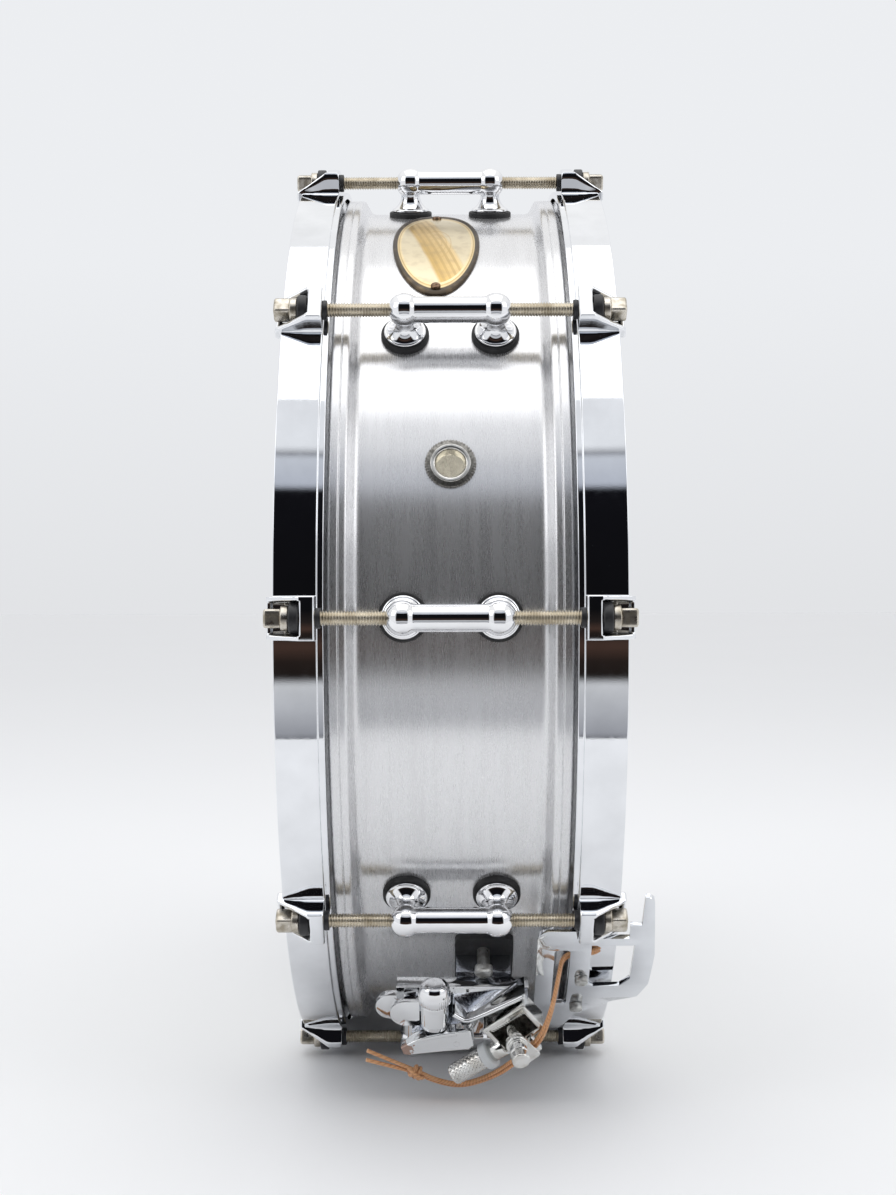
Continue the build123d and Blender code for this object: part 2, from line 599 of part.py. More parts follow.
with BuildPart() as strainer_pad:
    with BuildSketch(station(PAD_ANGLE, 0)):
        with Locations((sum(PAD_X) / 2, sum(PAD_SPAN) / 2)):
            RectangleRounded(PAD_X[1] - PAD_X[0], PAD_SPAN[1] - PAD_SPAN[0], 3.5)
    extrude(amount=SHELL_RADIUS + 10)
    with BuildSketch(MIDDLE):
        Circle(PAD_OUTER)
        Circle(SHELL_RADIUS, mode=Mode.SUBTRACT)
    extrude(amount=HALF, mode=Mode.INTERSECT)
    for bolt_angle in STRAINER_BOLT_ANGLES:
        with BuildSketch(station(bolt_angle, INNER, STRAINER_BOLT_X)):
            Circle(BOLT / 2)
        extrude(amount=10, mode=Mode.SUBTRACT)
keep("strainer_pad", strainer_pad.part)

SIDE_VIEW = Plane(face_point(BRACKET_X[0], 0, 0), x_dir=OUT, z_dir=(1, 0, 0))
BOLT_SEAT = PAD_OUTER + BOLT_SEAT_HEIGHT
with BuildPart() as strainer_bracket:
    with BuildSketch(SIDE_VIEW):
        with BuildLine():
            Polyline(
                (BACK_N - 2.6, 18.6), (BACK_N, 13.6), (BACK_N, -12.0), (BACK_N - 22, -18.0),
                (BACK_N - 26, 0), (BACK_N - 10, 19.5), close=True,
            )
        make_face()
    extrude(amount=BRACKET_X[1] - BRACKET_X[0])
    with BuildSketch(FACE.offset(BACK_N - 40)):
        with BuildLine():
            Polyline(
                (BRACKET_X[0], -30), (BRACKET_X[1], -30), (BRACKET_X[1], 16.2), (BRACKET_X[1] - 2.6, 19.6),
                (BRACKET_X[0] + 2.6, 19.6), (BRACKET_X[0], 16.2), close=True,
            )
        make_face()
    extrude(amount=60, mode=Mode.INTERSECT)
    with BuildSketch(MIDDLE):
        Circle(PAD_OUTER)
    extrude(amount=HALF, mode=Mode.SUBTRACT)
    with BuildSketch(station(STRAINER_BOLT_ANGLES[0], BOLT_SEAT, STRAINER_BOLT_X)):
        Circle(BOLT_HEAD / 2 + 0.4)
    extrude(amount=20, mode=Mode.SUBTRACT)
    with BuildSketch(station(STRAINER_BOLT_ANGLES[0], INNER, STRAINER_BOLT_X)):
        Circle(BOLT / 2)
    extrude(amount=20, mode=Mode.SUBTRACT)
    with BuildSketch(station(STRAINER_BOLT_ANGLES[1], INNER, STRAINER_BOLT_X)):
        Circle(BOLT / 2)
    extrude(amount=STUD_LONG, mode=Mode.SUBTRACT)
keep("strainer_bracket", strainer_bracket.part)

BOLT_INSIDE = seat(BOLT_NUT)
with BuildPart() as strainer_bolts:
    for bolt_angle, reach in zip(STRAINER_BOLT_ANGLES, (BOLT_SEAT - INNER, STUD_LONG)):
        with BuildSketch(station(bolt_angle, BOLT_INSIDE, STRAINER_BOLT_X)):
            Circle(BOLT / 2)
        extrude(amount=INNER - BOLT_INSIDE + reach)
        with BuildSketch(station(bolt_angle, BOLT_INSIDE, STRAINER_BOLT_X)):
            RegularPolygon(BOLT_NUT / 2, 6)
        extrude(amount=-BOLT_HEAD_THICK)
    with BuildSketch(station(STRAINER_BOLT_ANGLES[0], BOLT_SEAT, STRAINER_BOLT_X)):
        Circle(BOLT_HEAD / 2)
    extrude(amount=BOLT_HEAD_THICK)
    chamfer(strainer_bolts.faces().sort_by(Axis(CENTRE, outward(STRAINER_BOLT_ANGLES[0])))[-1].edges(), 0.8)
keep("strainer_bolts", strainer_bolts.part)

# Body: apron plate, rail across the top, sloping rim, two round tabs, knob sleeve and hinge lugs
KNOB_A, KNOB_N = KNOB_AT
PIN_A, PIN_N = LEVER_PIN_AT
with BuildPart() as strainer_body:
    with BuildSketch(FACE.offset(BACK_N)):
        with BuildLine():
            Polyline(
                (RAIL_X[0], RAIL_U[1]), (RAIL_X[0], -5), (-12, -11), (4, -14.4), (11, -14.4), (14, -6),
                (RAIL_X[1], 4), (RAIL_X[1], RAIL_U[1]), close=True,
            )
        make_face()
    extrude(amount=APRON)
    with BuildSketch(FACE.offset(BACK_N)):
        with Locations((sum(RAIL_X) / 2, sum(RAIL_U) / 2)):
            Rectangle(RAIL_X[1] - RAIL_X[0], RAIL_U[1] - RAIL_U[0])
    extrude(amount=RAIL_N - BACK_N)
    with BuildSketch(FACE.offset(BACK_N + APRON - 0.5)):
        with BuildLine():
            Polyline(
                (0.3, 2.6), (5.3, -0.8), (9.0, 0.6), (27.6, 11.2), (27.6, 12.8), (8.4, 2.4), (5.6, 1.4),
                (1.2, 4.4), close=True,
            )
        make_face()
    extrude(amount=RIM_N - BACK_N - APRON + 0.5)
    with BuildSketch(FACE.offset(BACK_N + 2)):
        with Locations((-24.0, -0.8)):
            Circle(TAB_ROUND)
        with Locations((-18.0, -0.8)):
            Rectangle(12, 2 * TAB_ROUND)
    extrude(amount=3.2)
    with BuildSketch(FACE.offset(-3.6)):
        with Locations((-18.1, 2.0)):
            Circle(TAB_ROUND)
        with Locations((-15.3, 2.0)):
            Rectangle(5.6, 2 * TAB_ROUND)
    extrude(amount=2.2)
    with BuildSketch(upright(-15.6, -5.8, -10.5)):
        Circle(3.0)
    extrude(amount=16)
    with BuildSketch(upright(KNOB_A, (BACK_N + APRON + KNOB_N) / 2, SLEEVE_U[0] - SHELF)):
        Rectangle(SLEEVE, KNOB_N - BACK_N - APRON + 1)
        with Locations((0, (BACK_N + APRON - KNOB_N) / 2)):
            Circle(SLEEVE / 2)
    extrude(amount=SHELF)
    with BuildSketch(upright(KNOB_A, KNOB_N, SLEEVE_U[0])):
        Circle(SLEEVE / 2)
    extrude(amount=SLEEVE_U[1] - SLEEVE_U[0])
    with BuildSketch(upright(KNOB_A, KNOB_N, SLEEVE_U[0] + 2)):
        Circle(SPINDLE / 2 + PIN_CLEAR)
    extrude(amount=SLEEVE_U[1] - SLEEVE_U[0], mode=Mode.SUBTRACT)
    for low, high in (LOWER_LUG, UPPER_LUG):
        with BuildSketch(upright(PIN_A, PIN_N, low)):
            Circle(LEVER_PIN)
            with Locations((0, (PIN_N - BACK_N) / 2)):
                Rectangle(2 * LEVER_PIN, PIN_N - BACK_N)
        extrude(amount=high - low)
    with BuildSketch(upright(PIN_A, PIN_N, LOWER_LUG[0])):
        Circle(LEVER_PIN / 2)
    extrude(amount=UPPER_LUG[1] - LOWER_LUG[0], mode=Mode.SUBTRACT)
keep("strainer_body", strainer_body.part)

with BuildPart() as lever_pin:
    with BuildSketch(upright(PIN_A, PIN_N, LOWER_LUG[0])):
        Circle(LEVER_PIN / 2)
    extrude(amount=UPPER_LUG[1] - LOWER_LUG[0])
keep("lever_pin", lever_pin.part)

# Lever: curved front plate with a lip along its top edge, on a barrel round the pin
with BuildPart() as throw_off_lever:
    with BuildSketch(FACE.offset(LEVER_FRONT_N - LEVER_THICK)) as front:
        with BuildLine():
            Line((8.4, -1.6), (8.4, -8.4))
            Line((8.4, -8.4), (6.4, -10.5))
            Line((6.4, -10.5), (-17.6, -13.4))
            Line((-17.6, -13.4), (-19.6, -9.8))
            Spline((-19.6, -9.8), (-11.4, -5.2), (-1.0, -2.7), (8.4, -1.6))
        make_face()
    extrude(amount=LEVER_THICK)
    with BuildSketch(FACE.offset(LIP_N)) as lip:
        with BuildLine():
            Spline((-19.6, -9.8), (-11.4, -5.2), (-1.0, -2.7), (1.4, -2.4))
            Line((1.4, -2.4), (1.4, -4.2))
            Spline((1.4, -4.2), (-1.0, -4.5), (-11.4, -7.1), (-18.8, -11.4))
            Line((-18.8, -11.4), (-19.6, -9.8))
        make_face()
    extrude(amount=LEVER_FRONT_N - LIP_N)
    with BuildSketch(upright(PIN_A, PIN_N, BARREL_U[0])):
        Circle(LEVER_PIN)
        with Locations((0, (PIN_N - LEVER_FRONT_N + LEVER_THICK / 2) / 2)):
            Rectangle(2 * LEVER_PIN, LEVER_FRONT_N - LEVER_THICK / 2 - PIN_N)
    extrude(amount=BARREL_U[1] - BARREL_U[0])
    with BuildSketch(upright(PIN_A, PIN_N, BARREL_U[0])):
        Circle(LEVER_PIN / 2 + PIN_CLEAR)
    extrude(amount=BARREL_U[1] - BARREL_U[0], mode=Mode.SUBTRACT)
keep("throw_off_lever", throw_off_lever.part)

# Knob: knurled skirt under a dome with a flat top, on a stem in the sleeve
with BuildPart() as latch_knob:
    with BuildSketch(Plane(face_point(KNOB_A, SLEEVE_U[1], KNOB_N), x_dir=(1, 0, 0), z_dir=OUT)):
        with BuildLine():
            Polyline((0, 0.3), (KNOB / 2 - 0.6, 0.3), (KNOB / 2, 1.0), (KNOB / 2, 3.6))
            ThreePointArc((KNOB / 2, 3.6), (KNOB / 2 - 1.3, 7.4), (2.4, 9.4))
            Polyline((2.4, 9.4), (0, 9.4), (0, 0.3))
        make_face()
    revolve(axis=Axis(face_point(KNOB_A, 0, KNOB_N), UP))
    with BuildSketch(upright(KNOB_A, KNOB_N, SLEEVE_U[0] + 3)):
        Circle(SPINDLE / 2)
    extrude(amount=SLEEVE_U[1] - SLEEVE_U[0] - 2)
keep("latch_knob", latch_knob.part)

# ==== yoke: a square frame turned in the strainer's plane, sliding on its tongue ====
TURN = math.radians(YOKE_TURN)
YOKE_X = FACE.x_dir * math.cos(TURN) + UP * math.sin(TURN)
YOKE_Y = UP * math.cos(TURN) - FACE.x_dir * math.sin(TURN)
YOKE = Plane(face_point(*YOKE_CENTRE, 0), x_dir=YOKE_X, z_dir=OUT)
YOKE_BACK, YOKE_FRONT = YOKE_N
POST_P = -1.6
CLAMP_TILT = math.radians(CLAMP_LEAN)
POST_DIR = OUT * math.cos(CLAMP_TILT) + FACE.x_dir * math.sin(CLAMP_TILT)
POST_ROOT = YOKE.from_local_coords(Vector(POST_P, 0, YOKE_BACK))
POST = Plane(POST_ROOT, x_dir=YOKE_Y.cross(POST_DIR), z_dir=POST_DIR)
ADJUST_Q, ADJUST_N = ADJUSTER_AT


def across_yoke(p):
    """A plane across the yoke's long direction, through the adjuster's axis, facing away from the yoke."""
    return Plane(YOKE.from_local_coords(Vector(p, ADJUST_Q, ADJUST_N)), x_dir=OUT, z_dir=YOKE_X * -1)


with BuildPart() as clamp_yoke:
    with BuildSketch(YOKE.offset(YOKE_BACK)) as frame:
        Rectangle(YOKE_LONG, YOKE_HIGH)
        fillet(frame.vertices(), 1.0)
    extrude(amount=YOKE_FRONT - YOKE_BACK)
    with BuildSketch(YOKE.offset(YOKE_BACK + YOKE_WALL)):
        Rectangle(YOKE_LONG - 2 * YOKE_WALL, YOKE_HIGH - 2 * YOKE_WALL)
    extrude(amount=YOKE_FRONT - YOKE_BACK, mode=Mode.SUBTRACT)
    with BuildSketch(YOKE.offset(YOKE_BACK)):
        with Locations((0, YOKE_HIGH / 2 - YOKE_WALL - 1.2)):
            Rectangle(YOKE_LONG - YOKE_WALL, 1.4)
    extrude(amount=YOKE_FRONT - YOKE_BACK - 1.4)
    with BuildSketch(YOKE.offset(LEDGE_N - 2.4)):
        with Locations((-1.0, -YOKE_HIGH / 2 - 2.9)):
            Rectangle(9.0, 7.0)
    extrude(amount=2.4)
    with BuildSketch(across_yoke(-YOKE_LONG / 2 + YOKE_WALL)):
        Circle(ADJUSTER / 2 - 0.6)
    extrude(amount=YOKE_WALL + BOSS_LONG)
    with BuildSketch(YOKE.offset(YOKE_BACK - TONGUE)):
        Rectangle(YOKE_LONG - 6, 6)
    extrude(amount=TONGUE)
    with BuildSketch(across_yoke(-YOKE_LONG / 2 + 3 * YOKE_WALL)):
        Circle(SPINDLE / 2 + PIN_CLEAR)
    extrude(amount=3 * YOKE_WALL + BOSS_LONG + 1, mode=Mode.SUBTRACT)
    with BuildSketch(POST.offset(-1)):
        Circle(SPINDLE / 2 + PIN_CLEAR)
    extrude(amount=YOKE_WALL + 1 + POST_FOOT_GAP, mode=Mode.SUBTRACT)
keep("clamp_yoke", clamp_yoke.part)

# Clamp screw: a post with a slotted cap, leaning, threaded through the yoke's back wall
with BuildPart() as clamp_screw:
    with BuildSketch(POST):
        Circle(SPINDLE / 2)
    extrude(amount=YOKE_WALL + 2 * POST_FOOT_GAP)
    with BuildSketch(POST.offset(YOKE_WALL + POST_FOOT_GAP)):
        Circle(CLAMP_POST / 2 - 0.4)
    extrude(amount=POST_LONG - YOKE_WALL - POST_FOOT_GAP)
    with BuildSketch(POST.offset(JAW_AT + JAW_THICK)):
        Circle(CLAMP_POST / 2 + 0.6)
    extrude(amount=1.8)
    with BuildSketch(POST.offset(POST_LONG - 6.0)):
        Circle(CLAMP_CAP / 2)
    extrude(amount=6.0)
    chamfer(clamp_screw.faces().sort_by(Axis(POST.origin, POST_DIR))[-1].edges(), 0.5)
    with BuildSketch(POST.offset(POST_LONG - 3.6)):
        with Locations((0, CLAMP_CAP * 0.42)):
            Rectangle(CLAMP_CAP + 1, 1.1)
        with Locations((0, -CLAMP_CAP * 0.42)):
            Rectangle(CLAMP_CAP + 1, 1.1)
    extrude(amount=1.3, mode=Mode.SUBTRACT)
keep("clamp_screw", clamp_screw.part)

# Jaw: a bar on the post that holds the cords down on the yoke's ledge
with BuildPart() as clamp_jaw:
    with BuildSketch(POST.offset(JAW_AT)):
        with Locations((0.6, -4.6)):
            RectangleRounded(8.4, 17.0, 1.2)
        Circle(CLAMP_POST / 2 - 0.4 + PIN_CLEAR, mode=Mode.SUBTRACT)
    extrude(amount=JAW_THICK)
keep("clamp_jaw", clamp_jaw.part)

COLLAR_AT = -YOKE_LONG / 2 - BOSS_LONG
with BuildPart() as adjuster_collar:
    with BuildSketch(across_yoke(COLLAR_AT)):
        Circle(COLLAR / 2)
        Circle(SPINDLE / 2 + PIN_CLEAR, mode=Mode.SUBTRACT)
    extrude(amount=COLLAR_LONG)
    fillet(adjuster_collar.edges().filter_by(GeomType.CIRCLE).group_by(SortBy.RADIUS)[-1], 0.5)
keep("adjuster_collar", adjuster_collar.part)

with BuildPart() as tension_adjuster:
    with BuildSketch(across_yoke(COLLAR_AT - COLLAR_LONG - 0.2)):
        Circle(ADJUSTER / 2)
    extrude(amount=ADJUSTER_LONG)
    chamfer(tension_adjuster.edges().filter_by(GeomType.CIRCLE), 0.7)
    with BuildSketch(across_yoke(COLLAR_AT - COLLAR_LONG - 0.2)):
        Circle(SPINDLE / 2)
    extrude(amount=-COLLAR_LONG - BOSS_LONG - YOKE_WALL - 1.2)
keep("tension_adjuster", tension_adjuster.part)

# ==== butt end: a block on the far side of the shell that holds the other ends of the snare cords ====
BUTT_X = STRAINER_BOLT_X + 2
with BuildPart() as butt_plate:
    with BuildSketch(station(BUTT_ANGLE, 0)):
        with Locations((BUTT_X, 0)):
            RectangleRounded(BUTT_WIDE, BUTT_LONG, 3.0)
    extrude(amount=SHELL_RADIUS + 30)
    with BuildSketch(MIDDLE):
        Circle(SHELL_RADIUS + BUTT_HEIGHT)
        Circle(SHELL_RADIUS, mode=Mode.SUBTRACT)
    extrude(amount=HALF, mode=Mode.INTERSECT)
    for bolt_angle in BUTT_BOLT_ANGLES:
        with BuildSketch(station(bolt_angle, INNER, STRAINER_BOLT_X)):
            Circle(BOLT / 2)
        extrude(amount=30, mode=Mode.SUBTRACT)
keep("butt_plate", butt_plate.part)

with BuildPart() as butt_screws:
    for bolt_angle in BUTT_BOLT_ANGLES:
        with BuildSketch(station(bolt_angle, BOLT_INSIDE, STRAINER_BOLT_X)):
            Circle(BOLT / 2)
        extrude(amount=SHELL_RADIUS + BUTT_HEIGHT - BOLT_INSIDE)
        with BuildSketch(station(bolt_angle, BOLT_INSIDE, STRAINER_BOLT_X)):
            RegularPolygon(BOLT_NUT / 2, 6)
        extrude(amount=-BOLT_HEAD_THICK)
        with BuildSketch(station(bolt_angle, SHELL_RADIUS + BUTT_HEIGHT, STRAINER_BOLT_X)):
            Circle(BOLT_HEAD / 2)
        extrude(amount=2.4)
keep("butt_screws", butt_screws.part)

# ==== cords: two from the snares to the clamp, two to the butt end, two knotted tails ====
def cord_tube(points):
    """A round cord along straight runs joined by arcs as large as the runs allow."""
    points = [Vector(*p) for p in points]
    runs = [after - before for before, after in zip(points, points[1:])]
    radii = []
    for before, after in zip(runs, runs[1:]):
        turn = math.radians(before.get_angle(after))
        radii.append(0.45 * min(before.length, after.length) / math.tan(turn / 2))
    print("cord runs", round(sum(run.length for run in runs), 1))
    with BuildPart() as tube:
        with BuildLine() as route:
            FilletPolyline(*points, radius=radii)
        with BuildSketch(Plane(points[0], z_dir=runs[0])):
            Circle(CORD / 2)
        sweep()
    return tube.part


def round_point(angle, radius, x, aside=0.0):
    """A point round the drum, shifted aside along the shell."""
    spot = station(angle, radius, x)
    return spot.origin + spot.y_dir * aside


def yoke_point(p, q, n):
    """A point from the yoke's own coordinates."""
    return YOKE.from_local_coords(Vector(p, q, n))


def snare_to_gate(side, turn):
    """From the hole in the snares' end plate, out through the hoop's gate and back along the hoop."""
    aside = side * CORD_PITCH / 2
    hole_radius = (SNARE_LENGTH - SNARE_END_LONG) / 2
    hole_angle = SNARE_ANGLE + math.degrees(math.atan(CORD_HOLE / hole_radius))
    return [
        round_point(hole_angle + turn, math.hypot(hole_radius, CORD_HOLE), PLATE_TOP_X, aside),
        round_point(hole_angle + turn + 0.3, SHELL_RADIUS - 14, PLATE_TOP_X + 0.3, aside),
        round_point(CORD_GATE_ANGLE + turn, FLANGE_RADIUS + 1, CORD_GATE_X, aside),
        round_point(CORD_GATE_ANGLE + turn, CORD_RADIUS, CORD_GATE_X, aside),
        round_point(CORD_GATE_ANGLE + turn, CORD_RADIUS, SLOT_X + 0.6, aside),
    ]


PLATE_TOP_X = HEAD_FACE_X + SNARE_END_THICK + CORD / 2
JOIN_P = -3.2
LEADS = []
for side in (-1, 1):
    aside = side * CORD_PITCH / 2
    LEADS.append(cord_tube(
        snare_to_gate(side, 0) + [
            face_point(40.2, 20.0 + aside, -0.8), face_point(37.4, 7.0 + aside, 4.6),
            yoke_point(4.4, -9.8 + aside, 5.9),
            yoke_point(JOIN_P, -10.8 + aside, 5.9),
        ]
    ))
keep("cord_lead", Compound(children=LEADS))

BUTT_CORDS = []
for side in (-1, 1):
    BUTT_CORDS.append(cord_tube(
        snare_to_gate(side, 180) + [
            round_point(CORD_GATE_ANGLE + 180, SHELL_RADIUS + BUTT_HEIGHT - 2.4, BUTT_X + BUTT_WIDE / 2,
                        side * CORD_PITCH / 2),
        ]
    ))
keep("butt_cord", Compound(children=BUTT_CORDS))

TAIL_START = yoke_point(JOIN_P - 0.3, -10.83, 5.9)
TAILS = {
    "cord_tail_a": [
        TAIL_START + YOKE_Y * (CORD_PITCH / 2), yoke_point(-9.0, -10.63, 5.6), face_point(18.4, -20.6, 4.0),
        face_point(11.4, -27.0, 1.8), face_point(3.0, -30.9, 0.8), face_point(-5.8, -28.9, 0.6),
        face_point(-14.2, -23.9, 0.6), face_point(-23.6, -19.4, 0.2), face_point(-32.8, -14.6, 0.0),
    ],
    "cord_tail_b": [
        TAIL_START - YOKE_Y * (CORD_PITCH / 2), yoke_point(-8.6, -12.28, 5.6), face_point(19.8, -21.9, 3.8),
        face_point(12.4, -28.6, 1.2), face_point(3.4, -32.7, 0.0), face_point(-6.4, -30.7, -0.4),
        face_point(-15.0, -25.6, -0.6), face_point(-24.0, -21.6, 0.8), face_point(-33.2, -17.8, 1.6),
    ],
}
for name, points in TAILS.items():
    keep(name, cord_tube(points))

with BuildPart() as cord_knot:
    with BuildSketch(Plane(face_point(-11.4, -26.8, -0.2), x_dir=OUT, z_dir=FACE.x_dir * -0.86 + UP * 0.5)):
        Circle(2.9)
    extrude(amount=6.0)
    fillet(cord_knot.edges(), 1.4)
keep("cord_knot", cord_knot.part)
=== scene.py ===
"""A 14 by 4 inch snare drum standing on its edge: looks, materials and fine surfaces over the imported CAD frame.

Everything is in metres in the frame's own axes: X is the drum's axis with the snare side at +X, -Y is the
front and +Z is up. Angles go round the drum from the front, positive upwards.
"""

import math

import bmesh
import bpy
import numpy as np
from mathutils import Matrix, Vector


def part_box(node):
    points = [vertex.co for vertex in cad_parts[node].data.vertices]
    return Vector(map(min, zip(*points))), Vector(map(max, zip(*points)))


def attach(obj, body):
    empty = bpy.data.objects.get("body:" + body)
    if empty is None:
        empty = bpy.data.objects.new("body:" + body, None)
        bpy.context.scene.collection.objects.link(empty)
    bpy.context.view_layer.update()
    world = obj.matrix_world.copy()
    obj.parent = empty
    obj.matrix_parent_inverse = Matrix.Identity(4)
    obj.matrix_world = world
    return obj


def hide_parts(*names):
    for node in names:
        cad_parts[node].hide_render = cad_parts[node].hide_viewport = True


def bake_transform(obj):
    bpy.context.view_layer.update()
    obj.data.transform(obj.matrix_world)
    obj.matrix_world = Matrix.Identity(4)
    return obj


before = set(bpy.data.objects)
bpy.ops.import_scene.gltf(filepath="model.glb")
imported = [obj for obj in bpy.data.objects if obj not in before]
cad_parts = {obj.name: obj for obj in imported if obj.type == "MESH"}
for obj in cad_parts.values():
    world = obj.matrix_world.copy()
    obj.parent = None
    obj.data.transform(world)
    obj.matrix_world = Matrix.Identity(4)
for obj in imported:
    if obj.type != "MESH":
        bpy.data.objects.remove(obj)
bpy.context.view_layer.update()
bpy.context.scene.view_settings.view_transform = "Standard"
MM = 0.001

# ---- where the drum is: the middle of the shell's box is its centre; _R names are in millimetres ----
shell_low, shell_high = (np.array(corner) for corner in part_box("shell"))
CENTRE = (shell_low + shell_high) / 2
SHELL_R = 177.6
SHELL_INSIDE_R = 175.0
SHELL_RADIUS = SHELL_R * MM
ROD_CIRCLE = 191.5 * MM
LUG_ANGLES = np.arange(10) * 36.0


# ==== places on the drum ====
def outward(angle):
    """Unit vector from the drum's axis at an angle round it: (0, -cos, sin)."""
    turn = np.radians(angle)
    return np.array([0.0 * turn, -np.cos(turn), np.sin(turn)])


def around(angle):
    """Unit vector along the shell, the way the angle grows: (0, sin, cos)."""
    turn = np.radians(angle)
    return np.array([0.0 * turn, np.sin(turn), np.cos(turn)])


def place(angle, radius, x):
    """The point at a radius and an angle, x along the drum from its middle."""
    return CENTRE + outward(angle) * radius + np.array([x, 0.0, 0.0])


# ==== surfaces ====
def rounded(corners, radii, steps=5, closed=True):
    """A profile with its corners rounded.

    Each corner becomes the curve (1-s)^2 a + 2 s (1-s) corner + s^2 b, where a and b lie one radius along
    the two runs (never past 0.46 of a run), with one more point just outside a and b to hold the flats flat.
    """
    corners = np.asarray(corners, float)
    radii = np.broadcast_to(np.asarray(radii, float), len(corners))
    before = np.roll(corners, 1, 0) - corners
    after = np.roll(corners, -1, 0) - corners
    run_in = np.linalg.norm(before, axis=1)
    run_out = np.linalg.norm(after, axis=1)
    reach = np.minimum(radii, 0.46 * np.minimum(run_in, run_out))
    unit_in = before / np.maximum(run_in, 1e-12)[:, None]
    unit_out = after / np.maximum(run_out, 1e-12)[:, None]
    start = corners + unit_in * reach[:, None]
    end = corners + unit_out * reach[:, None]
    s = np.linspace(0, 1, steps)[None, :, None]
    arcs = (1 - s) ** 2 * start[:, None] + 2 * s * (1 - s) * corners[:, None] + s ** 2 * end[:, None]
    hold_in = corners + unit_in * np.minimum(reach * 1.5, 0.48 * run_in)[:, None]
    hold_out = corners + unit_out * np.minimum(reach * 1.5, 0.48 * run_out)[:, None]
    line = np.concatenate([hold_in[:, None], arcs, hold_out[:, None]], axis=1)
    if closed:
        return line.reshape(-1, corners.shape[1])
    middle = line[1:-1].reshape(-1, corners.shape[1])
    return np.concatenate([corners[:1], middle, corners[-1:]])


def turned(profile, origin, axis, side, count=48, wobble=None):
    """A surface of revolution: each profile point (height, radius) goes round the axis from origin.

    Point = origin + axis height + radius (side cos t + (axis x side) sin t). wobble(height, t) scales the radius.
    """
    profile = np.asarray(profile, float)
    axis = np.asarray(axis, float) / np.linalg.norm(axis)
    side = np.asarray(side, float) - axis * np.dot(side, axis)
    side = side / np.linalg.norm(side)
    third = np.cross(axis, side)
    t = np.linspace(0, 2 * np.pi, count, endpoint=False)[None, :, None]
    height = profile[:, None, :1]
    radius = profile[:, None, 1:] * np.ones_like(t)
    if wobble is not None:
        radius = radius * wobble(height, t)
    return np.asarray(origin) + axis * height + radius * (side * np.cos(t) + third * np.sin(t))


def tube(path, radius, sides=12):
    """A round tube along a path: rings square to the path's direction, carried without twist.

    Each ring is path point + radius (n cos t + b sin t), n being the last ring's n less its part along the path.
    """
    path = np.asarray(path, float)
    heading = np.gradient(path, axis=0)
    heading /= np.linalg.norm(heading, axis=1)[:, None]
    normal = np.cross(heading[0], [0.3, 0.9, 0.2])
    normals = []
    for direction in heading:
        normal = normal - direction * np.dot(normal, direction)
        normal = normal / np.linalg.norm(normal)
        normals.append(normal)
    normals = np.array(normals)
    sideways = np.cross(heading, normals)
    t = np.linspace(0, 2 * np.pi, sides, endpoint=False)[None, :, None]
    return path[:, None] + radius * (normals[:, None] * np.cos(t) + sideways[:, None] * np.sin(t))


def grid_faces(rows, cols, wrap_rows, wrap_cols, start):
    """Quads over a grid of points numbered row by row from start."""
    index = start + np.arange(rows * cols).reshape(rows, cols)
    if wrap_rows:
        index = np.vstack([index, index[:1]])
    if wrap_cols:
        index = np.hstack([index, index[:, :1]])
    quads = np.stack([index[:-1, :-1], index[1:, :-1], index[1:, 1:], index[:-1, 1:]], -1)
    return quads.reshape(-1, 4)


def piece(name, grids, material, body="drum", instead_of=(), wrap=(False, True), caps=True):
    """One mesh from point grids, wrapped round in either direction, with open ends capped by flat faces."""
    points = []
    faces = []
    total = 0
    for grid in grids:
        rows, cols = grid.shape[:2]
        points.append(grid.reshape(-1, 3))
        faces += grid_faces(rows, cols, wrap[0], wrap[1], total).tolist()
        if caps and wrap[1] and not wrap[0]:
            faces.append(list(range(total, total + cols)))
            faces.append(list(range(total + (rows - 1) * cols, total + rows * cols)))
        total += rows * cols
    mesh = bpy.data.meshes.new(name)
    mesh.from_pydata(np.concatenate(points), [], faces)
    work = bmesh.new()
    work.from_mesh(mesh)
    bmesh.ops.remove_doubles(work, verts=work.verts, dist=1e-7)
    bmesh.ops.recalc_face_normals(work, faces=work.faces)
    work.to_mesh(mesh)
    work.free()
    sides = np.empty(len(mesh.polygons), int)
    mesh.polygons.foreach_get("loop_total", sides)
    mesh.polygons.foreach_set("use_smooth", sides <= 4)
    obj = bpy.data.objects.new(name, mesh)
    bpy.context.collection.objects.link(obj)
    obj.data.materials.append(material)
    if body:
        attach(obj, body)
    if instead_of:
        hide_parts(*instead_of)
    return obj


def plate(name, outline, depths, axes, edge, material, body, instead_of=()):
    """A flat plate: an outline in two axes, carried between two depths, with rounded edges.

    For t from 0 to a right angle, each edge's rings shrink by edge (1 - sin t) at edge (1 - cos t) from their
    face, and each face is one cap. axes is the origin and the outline's two axes and the depth's.
    """
    origin, across, up, out = axes
    outline = np.asarray(outline, float)
    inward = np.roll(outline, -1, 0) - np.roll(outline, 1, 0)
    inward = np.stack([-inward[:, 1], inward[:, 0]], 1)
    inward /= np.maximum(np.linalg.norm(inward, axis=1), 1e-9)[:, None]
    area = 0.5 * np.sum(outline[:, 0] * np.roll(outline[:, 1], -1) - np.roll(outline[:, 0], -1) * outline[:, 1])
    inward *= 1.0 if area > 0 else -1.0
    turn = np.linspace(0, np.pi / 2, 4)
    rises = np.concatenate([depths[0] + edge * (1 - np.cos(turn)), depths[1] - edge * (1 - np.cos(turn[::-1]))])
    shrinks = np.concatenate([edge * (1 - np.sin(turn)), edge * (1 - np.sin(turn[::-1]))])
    rings = outline[None] + inward[None] * shrinks[:, None, None]
    grid = np.asarray(origin) + rings[..., :1] * across + rings[..., 1:] * up + rises[:, None, None] * out
    piece(name, [grid], material, body, instead_of)


